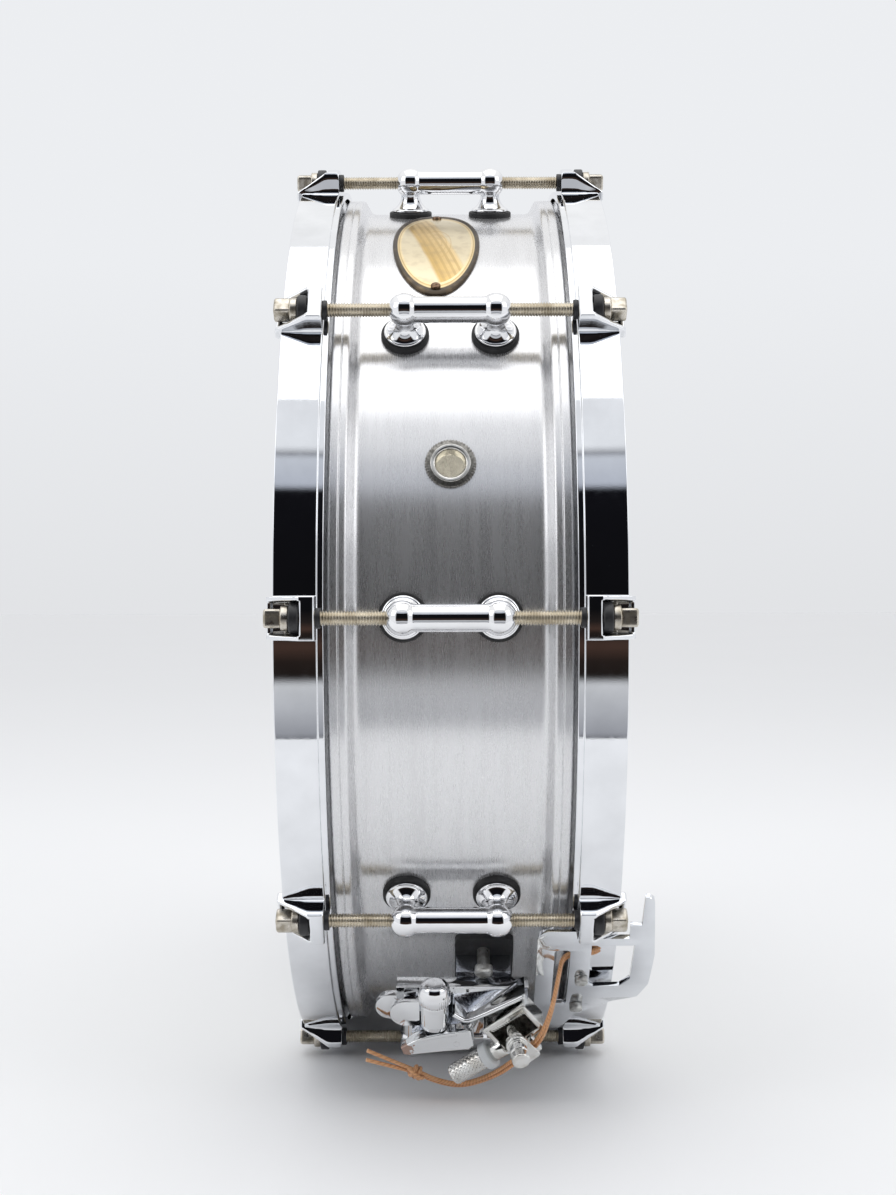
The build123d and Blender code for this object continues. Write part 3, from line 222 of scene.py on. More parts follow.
# ==== camera ====
def aim_camera():
    """The view: turned by yaw about Z, tipped down by pitch, then rolled; columns are right, up and back."""
    yaw, pitch, roll = -0.0031, 0.0109, 0.0026
    about_z = np.array([[np.cos(yaw), -np.sin(yaw), 0], [np.sin(yaw), np.cos(yaw), 0], [0, 0, 1]])
    about_x = np.array([[1, 0, 0], [0, np.cos(pitch), -np.sin(pitch)], [0, np.sin(pitch), np.cos(pitch)]])
    right, forward, up = about_x @ about_z
    rolled_right = np.cos(roll) * right - np.sin(roll) * up
    rolled_up = np.sin(roll) * right + np.cos(roll) * up
    spot = CENTRE + np.array([0.80, -759.88, 13.30]) * MM
    data = bpy.data.cameras.new("view_camera")
    data.sensor_fit = "VERTICAL"
    data.sensor_height = 36.0
    data.lens = 49.44
    data.clip_start = 0.02
    camera = bpy.data.objects.new("view_camera", data)
    bpy.context.collection.objects.link(camera)
    turn = np.eye(4)
    turn[:3, 0], turn[:3, 1], turn[:3, 2], turn[:3, 3] = rolled_right, rolled_up, -forward, spot
    camera.matrix_world = Matrix(turn.tolist())
    bpy.context.scene.camera = camera


aim_camera()


# ==== materials ====
def nodes_for(name, base, metal, rough):
    """An empty principled material, with its nodes, links and shader."""
    material = bpy.data.materials.new(name)
    material.use_nodes = True
    tree = material.node_tree
    shader = tree.nodes["Principled BSDF"]
    shader.inputs["Base Color"].default_value = (*base, 1)
    shader.inputs["Metallic"].default_value = metal
    shader.inputs["Roughness"].default_value = rough
    return material, tree, shader


def pattern(tree, size, stretch=(1, 1, 1), detail=4.0):
    """Noise on object coordinates; size is the feature's width in metres, stretch divides the frequency."""
    coords = tree.nodes.new("ShaderNodeTexCoord")
    mapping = tree.nodes.new("ShaderNodeMapping")
    mapping.inputs["Scale"].default_value = tuple(1 / (size * s) for s in stretch)
    noise = tree.nodes.new("ShaderNodeTexNoise")
    noise.inputs["Scale"].default_value = 1.0
    noise.inputs["Detail"].default_value = detail
    tree.links.new(coords.outputs["Object"], mapping.inputs["Vector"])
    tree.links.new(mapping.outputs["Vector"], noise.inputs["Vector"])
    return noise.outputs["Fac"]


def spread(tree, value, low, high, from_low=0.3, from_high=0.7):
    """A noise value spread between two numbers."""
    node = tree.nodes.new("ShaderNodeMapRange")
    node.inputs["From Min"].default_value = from_low
    node.inputs["From Max"].default_value = from_high
    node.inputs["To Min"].default_value = low
    node.inputs["To Max"].default_value = high
    tree.links.new(value, node.inputs["Value"])
    return node.outputs["Result"]


def colours(tree, value, stops):
    """A colour ramp over a value: stops are (place, colour)."""
    ramp = tree.nodes.new("ShaderNodeValToRGB")
    while len(ramp.color_ramp.elements) < len(stops):
        ramp.color_ramp.elements.new(0.5)
    for element, (spot, colour) in zip(ramp.color_ramp.elements, stops):
        element.position = spot
        element.color = (*colour, 1)
    tree.links.new(value, ramp.inputs["Fac"])
    return ramp.outputs["Color"]


def blended(tree, value, first, second):
    """Two colours mixed by a value; each is a colour or a socket."""
    mix = tree.nodes.new("ShaderNodeMix")
    mix.data_type = "RGBA"
    tree.links.new(value, mix.inputs["Factor"])
    for socket, colour in ((mix.inputs[6], first), (mix.inputs[7], second)):
        if isinstance(colour, tuple):
            socket.default_value = (*colour, 1)
        else:
            tree.links.new(colour, socket)
    return mix.outputs[2]


def sums(tree, operation, first, second=None, third=None):
    """One math node; inputs are numbers or sockets."""
    node = tree.nodes.new("ShaderNodeMath")
    node.operation = operation
    for socket, value in zip(node.inputs, (first, second, third)):
        if value is None:
            continue
        if isinstance(value, (int, float)):
            socket.default_value = value
        else:
            tree.links.new(value, socket)
    return node.outputs[0]


def raised(tree, shader, height, distance):
    """Bump from a height value, as deep as a distance."""
    bump = tree.nodes.new("ShaderNodeBump")
    bump.inputs["Distance"].default_value = distance
    tree.links.new(height, bump.inputs["Height"])
    tree.links.new(bump.outputs["Normal"], shader.inputs["Normal"])


def distance_to(tree, point):
    """Distance on the object from a fixed point, in metres."""
    coords = tree.nodes.new("ShaderNodeTexCoord")
    node = tree.nodes.new("ShaderNodeVectorMath")
    node.operation = "DISTANCE"
    node.inputs[1].default_value = tuple(point)
    tree.links.new(coords.outputs["Object"], node.inputs[0])
    return node.outputs["Value"]


def chrome(name, tint, low, high, haze=3 * MM, pits=0.0, dull=None):
    """Plated metal: roughness drifts between low and high, with fine wipe marks and, if asked, pits."""
    material, tree, shader = nodes_for(name, tint, 1.0, low)
    drift = pattern(tree, haze, detail=6)
    tree.links.new(spread(tree, drift, low, high), shader.inputs["Roughness"])
    darker = tuple(c * 0.9 for c in tint)
    cloud = pattern(tree, 14 * MM, detail=3)
    tone = blended(tree, spread(tree, cloud, 0, 1), tint, darker)
    if pits:
        speck = pattern(tree, 0.5 * MM, detail=8)
        spots = spread(tree, speck, 0, 1, 0.56, 0.68)
        tone = blended(tree, spots, tone, dull or tuple(c * 0.3 for c in tint))
        raised(tree, shader, sums(tree, "MULTIPLY", spots, -1.0), pits)
    else:
        fine = pattern(tree, 0.25 * MM, (6, 1, 1), detail=2)
        raised(tree, shader, fine, 0.0016 * MM)
    tree.links.new(tone, shader.inputs["Base Color"])
    return material


def turned_aluminium(name, base=(0.80, 0.80, 0.81)):
    """Spun and brushed wall: fine lines run round the drum, so the sheen spreads along its axis."""
    material, tree, shader = nodes_for(name, base, 0.82, 0.28)
    shader.inputs["Anisotropic"].default_value = 0.8
    shader.inputs["Anisotropic Rotation"].default_value = 0.25
    tangent = tree.nodes.new("ShaderNodeTangent")
    tangent.direction_type = "RADIAL"
    tangent.axis = "X"
    tree.links.new(tangent.outputs["Tangent"], shader.inputs["Tangent"])
    lines = pattern(tree, 0.13 * MM, (1, 30, 30), detail=3)
    bands = pattern(tree, 3.4 * MM, (1, 14, 14), detail=3)
    both = sums(tree, "MULTIPLY_ADD", lines, 0.55, sums(tree, "MULTIPLY", bands, 0.45))
    tree.links.new(spread(tree, both, 0.25, 0.30), shader.inputs["Roughness"])
    dark, pale = (tuple(min(1, c * share) for c in base) for share in (0.92, 1.03))
    tone = colours(tree, both, [(0.35, dark), (0.65, pale)])
    marks = pattern(tree, 1.3 * MM, (9, 1.2, 1), detail=9)
    scratch = spread(tree, marks, 0, 0.5, 0.70, 0.76)
    tree.links.new(blended(tree, scratch, tone, (0.95, 0.95, 0.95)), shader.inputs["Base Color"])
    raised(tree, shader, lines, 0.003 * MM)
    return material


def soft_black(name, base, low, high, grain):
    """Rubber or moulded plastic: near black, a fine grain and dusty patches."""
    material, tree, shader = nodes_for(name, base, 0.0, low)
    dust = pattern(tree, 6 * MM, detail=6)
    fine = pattern(tree, grain, detail=3)
    tree.links.new(spread(tree, fine, low, high), shader.inputs["Roughness"])
    tone = blended(tree, spread(tree, dust, 0, 0.6, 0.5, 0.75), base, tuple(c + 0.045 for c in base))
    tree.links.new(tone, shader.inputs["Base Color"])
    raised(tree, shader, fine, 0.02 * MM)
    return material


def tarnished(name, bright, dull, low, high, patch=2.2 * MM, bump=0.01 * MM):
    """Old nickel: bright metal with dull stains, rougher where stained."""
    material, tree, shader = nodes_for(name, bright, 1.0, low)
    stain = pattern(tree, patch, detail=8)
    amount = spread(tree, stain, 0, 1, 0.42, 0.66)
    tree.links.new(blended(tree, amount, bright, dull), shader.inputs["Base Color"])
    tree.links.new(spread(tree, stain, low, high), shader.inputs["Roughness"])
    raised(tree, shader, pattern(tree, 0.3 * MM, detail=5), bump)
    return material


def cord_material():
    """Waxed cord: two tans in fine slanting strands along the cord's own length, a soft waxy sheen."""
    material, tree, shader = nodes_for("waxed_cord", (0.66, 0.30, 0.12), 0.0, 0.5)
    shader.inputs["Sheen Weight"].default_value = 0.25
    shader.inputs["Sheen Roughness"].default_value = 0.5
    uv = tree.nodes.new("ShaderNodeUVMap")
    uv.uv_map = "along"
    wave = tree.nodes.new("ShaderNodeTexWave")
    wave.wave_type = "BANDS"
    wave.bands_direction = "DIAGONAL"
    wave.inputs["Scale"].default_value = 1.0
    wave.inputs["Distortion"].default_value = 1.2
    wave.inputs["Detail"].default_value = 2.0
    mapping = tree.nodes.new("ShaderNodeMapping")
    mapping.inputs["Scale"].default_value = (420.0, 1.4, 1.0)
    tree.links.new(uv.outputs["UV"], mapping.inputs["Vector"])
    tree.links.new(mapping.outputs["Vector"], wave.inputs["Vector"])
    age = pattern(tree, 4 * MM, detail=4)
    tan = colours(tree, wave.outputs["Fac"], [(0.0, (0.47, 0.19, 0.07)), (0.6, (0.74, 0.36, 0.15))])
    tree.links.new(blended(tree, spread(tree, age, 0, 0.55), tan, (0.80, 0.47, 0.25)), shader.inputs["Base Color"])
    raised(tree, shader, wave.outputs["Fac"], 0.06 * MM)
    return material


def film_material():
    """Coated head: white film with a fine sprayed texture and faint clouding."""
    material, tree, shader = nodes_for("head_film", (0.84, 0.84, 0.81), 0.0, 0.45)
    cloud = pattern(tree, 30 * MM, detail=5)
    tree.links.new(blended(tree, spread(tree, cloud, 0, 1), (0.86, 0.86, 0.83), (0.78, 0.78, 0.74)),
                   shader.inputs["Base Color"])
    raised(tree, shader, pattern(tree, 0.6 * MM, detail=4), 0.03 * MM)
    return material


POLISHED = chrome("polished_chrome", (0.87, 0.885, 0.91), 0.02, 0.055)
LUG_CHROME = chrome("lug_chrome", (0.90, 0.905, 0.92), 0.02, 0.05)
PITTED = chrome("pitted_chrome", (0.72, 0.75, 0.81), 0.06, 0.22, pits=0.02 * MM, dull=(0.30, 0.31, 0.36))
LEVER_SKIN = chrome("lever_chrome", (0.84, 0.85, 0.86), 0.04, 0.12)
ALUMINIUM = turned_aluminium("turned_aluminium")
RUBBER = soft_black("black_rubber", (0.012, 0.012, 0.013), 0.45, 0.7, 0.4 * MM)
PLASTIC = soft_black("black_plastic", (0.018, 0.018, 0.02), 0.32, 0.55, 0.3 * MM)
THREAD = tarnished("aged_thread", (0.66, 0.60, 0.49), (0.46, 0.40, 0.30), 0.24, 0.36, 7 * MM, 0.004 * MM)
HEAD_NICKEL = tarnished("rod_head_nickel", (0.66, 0.62, 0.55), (0.38, 0.34, 0.27), 0.22, 0.42, 3 * MM)
VENT_NICKEL = tarnished("vent_nickel", (0.70, 0.69, 0.66), (0.50, 0.49, 0.46), 0.12, 0.25, 3 * MM, 0.003 * MM)
VENT_DARK = tarnished("vent_edge", (0.30, 0.29, 0.27), (0.12, 0.115, 0.105), 0.25, 0.45, 1.0 * MM)
SCREW_STEEL = tarnished("screw_steel", (0.60, 0.60, 0.58), (0.34, 0.33, 0.31), 0.25, 0.45)
CLAMP_NICKEL = tarnished("clamp_nickel", (0.80, 0.80, 0.78), (0.60, 0.58, 0.54), 0.08, 0.2, 5 * MM, 0.003 * MM)
GUARD_NICKEL = chrome("guard_nickel", (0.80, 0.82, 0.85), 0.05, 0.12)
# Near-black nickel for the sheet inside the yoke: painted shade, with some grime.
SHADE_AND_GRIME = tarnished("painted_shade_and_grime_nickel", (0.16, 0.15, 0.14), (0.05, 0.045, 0.04), 0.35, 0.6)
COLLAR_WHITE = soft_black("collar_plastic", (0.62, 0.64, 0.65), 0.35, 0.5, 0.5 * MM)
BRONZE = tarnished("badge_bronze", (0.22, 0.14, 0.09), (0.08, 0.05, 0.035), 0.3, 0.5, 1.0 * MM)
WIRE = tarnished("wire_steel", (0.70, 0.70, 0.70), (0.45, 0.44, 0.42), 0.2, 0.35)
CORD_SKIN = cord_material()
FILM = film_material()

# ==== strainer's own axes: a along the drum, u up its face, n out of it; the yoke's are turned in that face ====
LEAN = math.radians(25.0)
TURN = math.radians(37.0)
FACE_X = np.array([1.0, 0.0, 0.0])
FACE_UP = np.array([0.0, -math.sin(LEAN), math.cos(LEAN)])
FACE_OUT = np.array([0.0, -math.cos(LEAN), -math.sin(LEAN)])
FACE_ORIGIN = CENTRE + np.array([0.0, -135.0, -155.0]) * MM
YOKE_X = FACE_X * math.cos(TURN) + FACE_UP * math.sin(TURN)
YOKE_UP = FACE_UP * math.cos(TURN) - FACE_X * math.sin(TURN)


def face(a, u, n):
    """A point from the strainer's own millimetres."""
    return FACE_ORIGIN + (FACE_X * a + FACE_UP * u + FACE_OUT * n) * MM


def on_face(grid):
    """Points from a grid of the strainer's own (a, u, n) millimetres."""
    return FACE_ORIGIN + (grid[..., :1] * FACE_X + grid[..., 1:2] * FACE_UP + grid[..., 2:] * FACE_OUT) * MM


def square_to(steps):
    """Flat unit vectors a quarter turn clockwise from each step."""
    ahead = steps / np.linalg.norm(steps, axis=1)[:, None]
    return np.stack([ahead[:, 1], -ahead[:, 0]], 1)


YOKE_ORIGIN = face(23.4, -1.2, 0)


def yoke(p, q, n):
    """A point from the yoke's own millimetres."""
    return YOKE_ORIGIN + (YOKE_X * p + YOKE_UP * q + FACE_OUT * n) * MM


# ==== cords ====
CORD = 1.5 * MM
HALF_PITCH = 0.85


def spline_line(points):
    """The smooth line of a NURBS curve through its control points, read back as an array."""
    curve = bpy.data.curves.new("route", "CURVE")
    curve.dimensions = "3D"
    spline = curve.splines.new("NURBS")
    spline.points.add(len(points) - 1)
    spline.points.foreach_set("co", np.hstack([np.array(points), np.ones((len(points), 1))]).ravel())
    spline.order_u = 3
    spline.use_endpoint_u = True
    spline.resolution_u = 24
    holder = bpy.data.objects.new("route", curve)
    bpy.context.collection.objects.link(holder)
    bpy.context.view_layer.update()
    mesh = bpy.data.meshes.new_from_object(holder)
    line = np.array([vertex.co[:] for vertex in mesh.vertices])
    bpy.data.objects.remove(holder)
    bpy.data.meshes.remove(mesh)
    gaps = np.linalg.norm(np.diff(line, axis=0), axis=1)
    return line[np.concatenate([[True], gaps > 1e-6])]


def path_length(path):
    """The sum of a path's steps."""
    return float(np.linalg.norm(np.diff(path, axis=0), axis=1).sum())


def add_along_map(obj, paths, sides):
    """A UV map on tubes: u is the metres along the path and v goes round from 0 to 1 at each vertex."""
    along = np.concatenate([np.repeat(np.linspace(0, path_length(p), len(p)), sides) for p in paths])
    ring = np.concatenate([np.tile(np.linspace(0, 1, sides, endpoint=False), len(p)) for p in paths])
    layer = obj.data.uv_layers.new(name="along")
    corner = np.empty(len(obj.data.loops), int)
    obj.data.loops.foreach_get("vertex_index", corner)
    layer.data.foreach_set("uv", np.stack([along[corner], ring[corner]], 1).ravel())


def cord_piece(name, routes, body, nodes):
    """Round cords along smooth routes, with the waxed finish."""
    paths = [spline_line(route) for route in routes]
    obj = piece(name, [tube(path, CORD / 2) for path in paths], CORD_SKIN, body, nodes)
    add_along_map(obj, paths, 12)
    return obj, paths


def snare_to_gate(side, turn):
    """Control points from the end plate's hole to the guard's slot."""
    aside = side * HALF_PITCH * MM
    stops = [(-44.408, 143.68, 53.55), (-44.108, 163.6, 53.85), (-42.6, 180.4, 57.0), (-42.6, 189.3, 57.0),
             (-42.6, 189.3, 42.2)]
    return [place(angle + turn, radius * MM, x * MM) + around(angle + turn) * aside for angle, radius, x in stops]


LEAD_ROUTES = [
    snare_to_gate(side, 0) + [face(40.2, 20.0 + side * HALF_PITCH, -0.8), face(37.4, 7.0 + side * HALF_PITCH, 4.6),
                              yoke(4.4, -9.8 + side * HALF_PITCH, 5.9), yoke(-3.2, -10.8 + side * HALF_PITCH, 5.9)]
    for side in (-1, 1)
]
lead, _ = cord_piece("snare_cord_lead", LEAD_ROUTES, None, ("cord_lead",))
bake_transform(lead)
BUTT_END = place(137.4, 184.2 * MM, 24.2 * MM)
BUTT_ROUTES = [snare_to_gate(side, 180) + [BUTT_END + around(137.4) * side * HALF_PITCH * MM] for side in (-1, 1)]
cord_piece("butt_end_cord", BUTT_ROUTES, "drum", ("butt_cord",))

TAIL_A = [yoke(-3.5, -9.98, 5.9), yoke(-9.0, -10.63, 5.6), face(18.4, -20.6, 4.0), face(11.4, -27.0, 1.8),
          face(3.0, -30.9, 0.8), face(-5.8, -28.9, 0.6), face(-14.2, -23.9, 0.6), face(-23.6, -19.4, 0.2),
          face(-32.8, -14.6, 0.0)]
TAIL_B = [yoke(-3.5, -11.68, 5.9), yoke(-8.6, -12.28, 5.6), face(19.8, -21.9, 3.8), face(12.4, -28.6, 1.2),
          face(3.4, -32.7, 0.0), face(-6.4, -30.7, -0.4), face(-15.0, -25.6, -0.6), face(-24.0, -21.6, 0.8),
          face(-33.2, -17.8, 1.6)]
# The knot: two close wraps round both strands and one strand laid back over them.
KNOT_AT = face(-11.4, -26.8, 0.0)
KNOT_ALONG = -FACE_X * 0.86 + FACE_UP * 0.5
KNOT_ALONG /= np.linalg.norm(KNOT_ALONG)
KNOT_SIDE = np.cross(FACE_OUT, KNOT_ALONG)
KNOT_TURNS = np.linspace(0, 2 * np.pi * 2.3, 24)[:, None]
KNOT_ROUTE = (KNOT_AT + KNOT_ALONG * (1.0 + KNOT_TURNS * 0.27) * MM
              + (FACE_OUT * np.cos(KNOT_TURNS) * 1.95 + KNOT_SIDE * np.sin(KNOT_TURNS) * 2.2) * MM)
KNOT_BACK = np.array([KNOT_AT - KNOT_ALONG * 0.6 * MM + KNOT_SIDE * 0.6 * MM, KNOT_AT + FACE_OUT * 2.2 * MM,
                      KNOT_AT + (FACE_OUT * 2.9 + KNOT_ALONG * 2.8 - KNOT_SIDE * 0.6) * MM,
                      KNOT_AT + (KNOT_ALONG * 5.8 + FACE_OUT * 1.9 - KNOT_SIDE * 0.9) * MM,
                      KNOT_AT + (KNOT_ALONG * 6.9 + FACE_OUT * 0.2 - KNOT_SIDE * 0.5) * MM])
knot_paths = [spline_line(KNOT_ROUTE), spline_line(KNOT_BACK)]
knot = piece("cord_knot_wraps", [tube(path, CORD / 2) for path in knot_paths], CORD_SKIN, "yoke",
             ("cord_knot",))
add_along_map(knot, knot_paths, 12)
tail_a, paths_a = cord_piece("cord_tail_upper", [TAIL_A], "yoke", ("cord_tail_a",))
tail_b, paths_b = cord_piece("cord_tail_lower", [TAIL_B], "yoke", ("cord_tail_b",))

# ==== shell: a closed turned skin with a raised band, a fine groove and rounded steps near each edge ====
VENT_ANGLE = 18.0
VENT_AT = place(VENT_ANGLE, SHELL_RADIUS, 0)
VENT_CUT = 7.6 * MM
WALL_REACH = 20 * MM
BAND_R = 183.3
SHELL_STEP = 0.75


def shell_skin():
    """Wall: point = centre + x along + r outward(t), over a closed (x, r) loop and even steps of t.

    The faces whose middles lie near the vent's line are cut out, under the vent's ring.
    """
    steps = np.arange(0.75, 10, 1.5)
    outer = rounded([(steps[-1], SHELL_R), (34.4, SHELL_R), (37.1, BAND_R), (39.6, BAND_R), (39.95, BAND_R - 0.35),
                     (40.3, BAND_R), (43.8, BAND_R), (43.8, SHELL_R), (50.4, SHELL_R), (50.8, 176.9),
                     (49.1, SHELL_INSIDE_R), (steps[-1], SHELL_INSIDE_R)],
                    [0, 2.4, 2.2, 0.2, 0.2, 0.2, 1.4, 0.5, 0.4, 0.2, 0.3, 0], closed=False)
    outside, inside = (np.stack([steps[:-1], np.full(len(steps) - 1, radius)], 1)
                       for radius in (SHELL_R, SHELL_INSIDE_R))
    half = np.vstack([outside, outer, inside[::-1]])
    loop = np.vstack([half, half[::-1] * np.array([-1, 1])]) * MM
    ways = outward(np.arange(0, 360, SHELL_STEP)).T
    grid = CENTRE + loop[:, None, :1] * FACE_X + loop[:, None, 1:] * ways[None]
    skin = piece("shell_wall", [grid], ALUMINIUM, "drum", ("shell",), wrap=(True, True))
    work = bmesh.new()
    work.from_mesh(skin.data)
    way = outward(VENT_ANGLE)
    middles = np.array([face.calc_center_median()[:] for face in work.faces]) - VENT_AT
    off_axis = np.linalg.norm(middles - np.outer(middles @ way, way), axis=1)
    near = (off_axis < VENT_CUT) & (middles @ way > -WALL_REACH)
    faces = [face for face, gone in zip(work.faces, near) if gone]
    bmesh.ops.delete(work, geom=faces, context="FACES")
    work.to_mesh(skin.data)
    work.free()


shell_skin()

# ==== hoops: a cast ring whose section swells into an ear with a pocket at each rod ====
# The three sections are (x, r) loops with their corners in the same order, so that they blend point by point.
EAR_HALF = 7.7
POCKET_HALF = 5.9
PLAIN = [(44.6, 184.2), (44.6, 187.0), (46.9, 187.0), (46.9, 188.0), (50.0, 188.0), (53.0, 188.0), (56.0, 188.0),
         (60.6, 188.0), (61.3, 188.0), (62.3, 188.0), (62.3, 184.2), (53.8, 184.2), (53.8, 179.4), (51.2, 179.4),
         (51.2, 184.2)]
CHEEK = [(44.6, 184.2), (44.6, 187.0), (46.9, 187.0), (46.9, 196.9), (52.4, 196.9), (53.6, 196.1), (58.0, 193.0),
         (62.6, 189.8), (63.5, 189.2), (64.5, 188.4), (64.5, 184.3), (53.8, 184.2), (53.8, 179.4), (51.2, 179.4),
         (51.2, 184.2)]
POCKET = [(44.6, 184.2), (44.6, 187.0), (46.9, 187.0), (46.9, 196.9), (52.3, 196.9), (52.5, 185.4), (57.0, 185.3),
          (62.5, 185.3), (62.9, 186.4), (64.5, 186.5), (64.5, 184.3), (53.8, 184.2), (53.8, 179.4), (51.2, 179.4),
          (51.2, 184.2)]
HOOP_ROUND = [0.4, 0.5, 0.4, 1.2, 1.0, 0.5, 0.5, 0.6, 0.9, 1.8, 1.2, 0.5, 0.4, 0.4, 0.3]
EAR_CROWN = 0.4
EAR_ARC_R = 192.0
LUG_TURN = 36.0
EAR_STEPS = np.array([0, 1.5, 3, 4.4, 5.3, 5.75, 5.9, 6.05, 6.3, 6.7, 7.0, 7.3, 7.5, 7.62, 7.72, 7.82, 8.0, 8.4,
                      9.2])


def hoop(name, side, node):
    """Ring: point = centre + x along + r outward(t), its (x, r) section passing from plain to cheek to pocket.

    The section at t is plain + ear(t) (cheek - plain) + pocket(t) (pocket - cheek), with smooth steps at the
    ear's and pocket's half widths, less a crown that falls with the square of the distance from mid-ear.
    """
    half_turn = np.degrees(EAR_STEPS / EAR_ARC_R)
    ear_turns = np.concatenate([-half_turn[:0:-1], half_turn])
    between = np.linspace(half_turn[-1], LUG_TURN - half_turn[-1], 20)[1:-1]
    turns = np.sort(np.concatenate([np.add.outer(LUG_ANGLES, ear_turns).ravel(),
                                    np.add.outer(LUG_ANGLES, between).ravel()]))
    off = (turns + LUG_TURN / 2) % LUG_TURN - LUG_TURN / 2
    away = np.abs(np.radians(off) * EAR_ARC_R)
    ear, well = (np.clip((edge - away) / width, 0, 1)[:, None, None] for edge, width in
                 ((EAR_HALF + 0.14, 0.36), (POCKET_HALF + 0.2, 0.4)))
    ear, well = (share * share * (3 - 2 * share) for share in (ear, well))
    plain, cheek, pocket = (rounded(np.array(p), HOOP_ROUND, steps=5) for p in (PLAIN, CHEEK, POCKET))
    section = plain + ear * (cheek - plain) + well * (pocket - cheek)
    high = np.clip((section[..., 1] - 189.5) / 5, 0, 1)
    section[..., 1] -= high * EAR_CROWN * (away[:, None] / EAR_HALF) ** 2
    ways = outward(turns).T
    grid = (CENTRE + side * section[..., :1] * MM * FACE_X + section[..., 1:] * MM * ways[:, None])
    piece(name, [grid], POLISHED, "drum", (node,), wrap=(True, True))


hoop("snare_side_hoop", 1, "snare_hoop")
hoop("batter_side_hoop", -1, "batter_hoop")

# ==== tube lugs: ball, tube, ball turned about the rod's line, on two flared posts ====
BALL_R, TUBE_R, HOLE_R, POST_R, FOOT_R = 6.2, 4.875, 3.0, 4.05, 7.8
BALL_X, FOOT_BASE, GASKET_BASE = 16.9, 179.6, 177.0


def lug_body_profile():
    """(x, r) of ball, tube and ball: sqrt(R^2 - (x - c)^2) on the balls, a cove where the tube meets them."""
    rim = math.sqrt(BALL_R ** 2 - HOLE_R ** 2)
    bend = np.linspace(math.atan2(HOLE_R, rim), math.pi - math.asin(TUBE_R / BALL_R) - 0.06, 22)
    ball = np.stack([BALL_X + BALL_R * np.cos(bend), BALL_R * np.sin(bend)], 1)
    well = np.array([(20.0, HOLE_R - 0.25), (21.9, HOLE_R - 0.2), (BALL_X + rim - 0.1, HOLE_R - 0.05)])
    join = np.array([(12.75, TUBE_R + 0.05), (12.3, TUBE_R), (6.0, TUBE_R), (0.0, TUBE_R)])
    half = np.vstack([well, ball, join])
    return np.vstack([half, half[:-1][::-1] * np.array([-1, 1])])


def post_profile():
    """(height, r) of a post: a stepped foot, a hollow flare r = neck + (foot - neck)(1 - s)^2.2, and the neck."""
    s = np.linspace(0, 1, 12)
    flare = np.stack([FOOT_BASE + 1.5 + 5.2 * s, POST_R + (6.9 - POST_R) * (1 - s) ** 2.2], 1)
    foot = np.array([(FOOT_BASE, 0.0), (FOOT_BASE, 7.3), (FOOT_BASE + 0.15, 7.65), (FOOT_BASE + 0.5, FOOT_R),
                     (FOOT_BASE + 0.95, FOOT_R), (FOOT_BASE + 1.3, 7.6), (FOOT_BASE + 1.42, 7.2)])
    return np.vstack([foot, flare, [(188.5, POST_R)]])


def lugs():
    """Ten lugs and their twenty posts and rubber gaskets."""
    bodies, posts, gaskets = [], [], []
    gasket = rounded([(GASKET_BASE, 5.0), (GASKET_BASE, 9.0), (179.65, 9.0), (179.65, 5.0)],
                     [0.2, 0.3, 0.8, 0.2], 4)
    for angle in LUG_ANGLES:
        way = outward(angle)
        bodies.append(turned(lug_body_profile() * MM, place(angle, ROD_CIRCLE, 0), FACE_X, way, 56))
        for side in (-1, 1):
            foot = CENTRE + FACE_X * side * BALL_X * MM
            posts.append(turned(post_profile() * MM, foot, way, FACE_X, 40))
            gaskets.append(turned(gasket * MM, foot, way, FACE_X, 44))
    piece("tube_lug_bodies", bodies, LUG_CHROME, "drum", ("tube_lugs",))
    piece("tube_lug_posts", posts, LUG_CHROME, "drum", caps=False)
    piece("lug_foot_gaskets", gaskets, RUBBER, "drum", ("lug_gaskets",), wrap=(True, True))


lugs()

# ==== tension rods: rolled thread, plain neck and a square head, with washer, seat and bushing ====
PITCH, THREAD_R, THREAD_DEPTH = 1.06, 2.75, 0.62
THREAD_FROM, THREAD_TO, RUN_OUT = 21.9, 50.1, 0.8
PLAIN_R = 2.5
HEAD_HALF, HEAD_POWER = 3.3, 9


def thread_rod(angle, side):
    """Shank r = R - depth |2 frac(x / pitch - t / 2 pi) - 1|, plain at both ends and thinner inside the lug.

    The head's section is r = h (|cos t|^n + |sin t|^n)^(-1/n) with n = 9, closed over a slightly domed end.
    """
    x = np.concatenate([[12.3, 15.0, THREAD_FROM - 0.1], np.arange(22.0, 50.0, PITCH / 6), [50.2, 56.0, 58.95]])
    t = np.linspace(0, 2 * np.pi, 16, endpoint=False)
    phase = (x[:, None] / PITCH - t[None] / (2 * np.pi)) % 1.0
    fade = np.clip(np.minimum(x - THREAD_FROM, THREAD_TO - x) / RUN_OUT, 0, 1)[:, None]
    radius = np.where(x < THREAD_FROM, PLAIN_R, THREAD_R)[:, None] - THREAD_DEPTH * np.abs(2 * phase - 1) * fade
    way, up = outward(angle), around(angle)
    base = place(angle, ROD_CIRCLE, 0)
    shank = (base + side * x[:, None, None] * MM * FACE_X
             + radius[..., None] * MM * (np.cos(t)[None, :, None] * way + np.sin(t)[None, :, None] * up))
    t = np.linspace(0, 2 * np.pi, 48, endpoint=False)
    square = HEAD_HALF * (np.abs(np.cos(t)) ** HEAD_POWER + np.abs(np.sin(t)) ** HEAD_POWER) ** (-1 / HEAD_POWER)
    lengths = np.array([58.9, 58.95, 59.2, 62.5, 63.9, 64.3, 64.6, 64.8, 64.9])
    share = np.array([0.90, 0.96, 1.0, 1.0, 1.0, 0.975, 0.91, 0.80, 0.62])
    head = (base + side * lengths[:, None, None] * MM * FACE_X
            + (square[None] * share[:, None])[..., None] * MM
            * (np.cos(t)[None, :, None] * way + np.sin(t)[None, :, None] * up))
    return shank, head


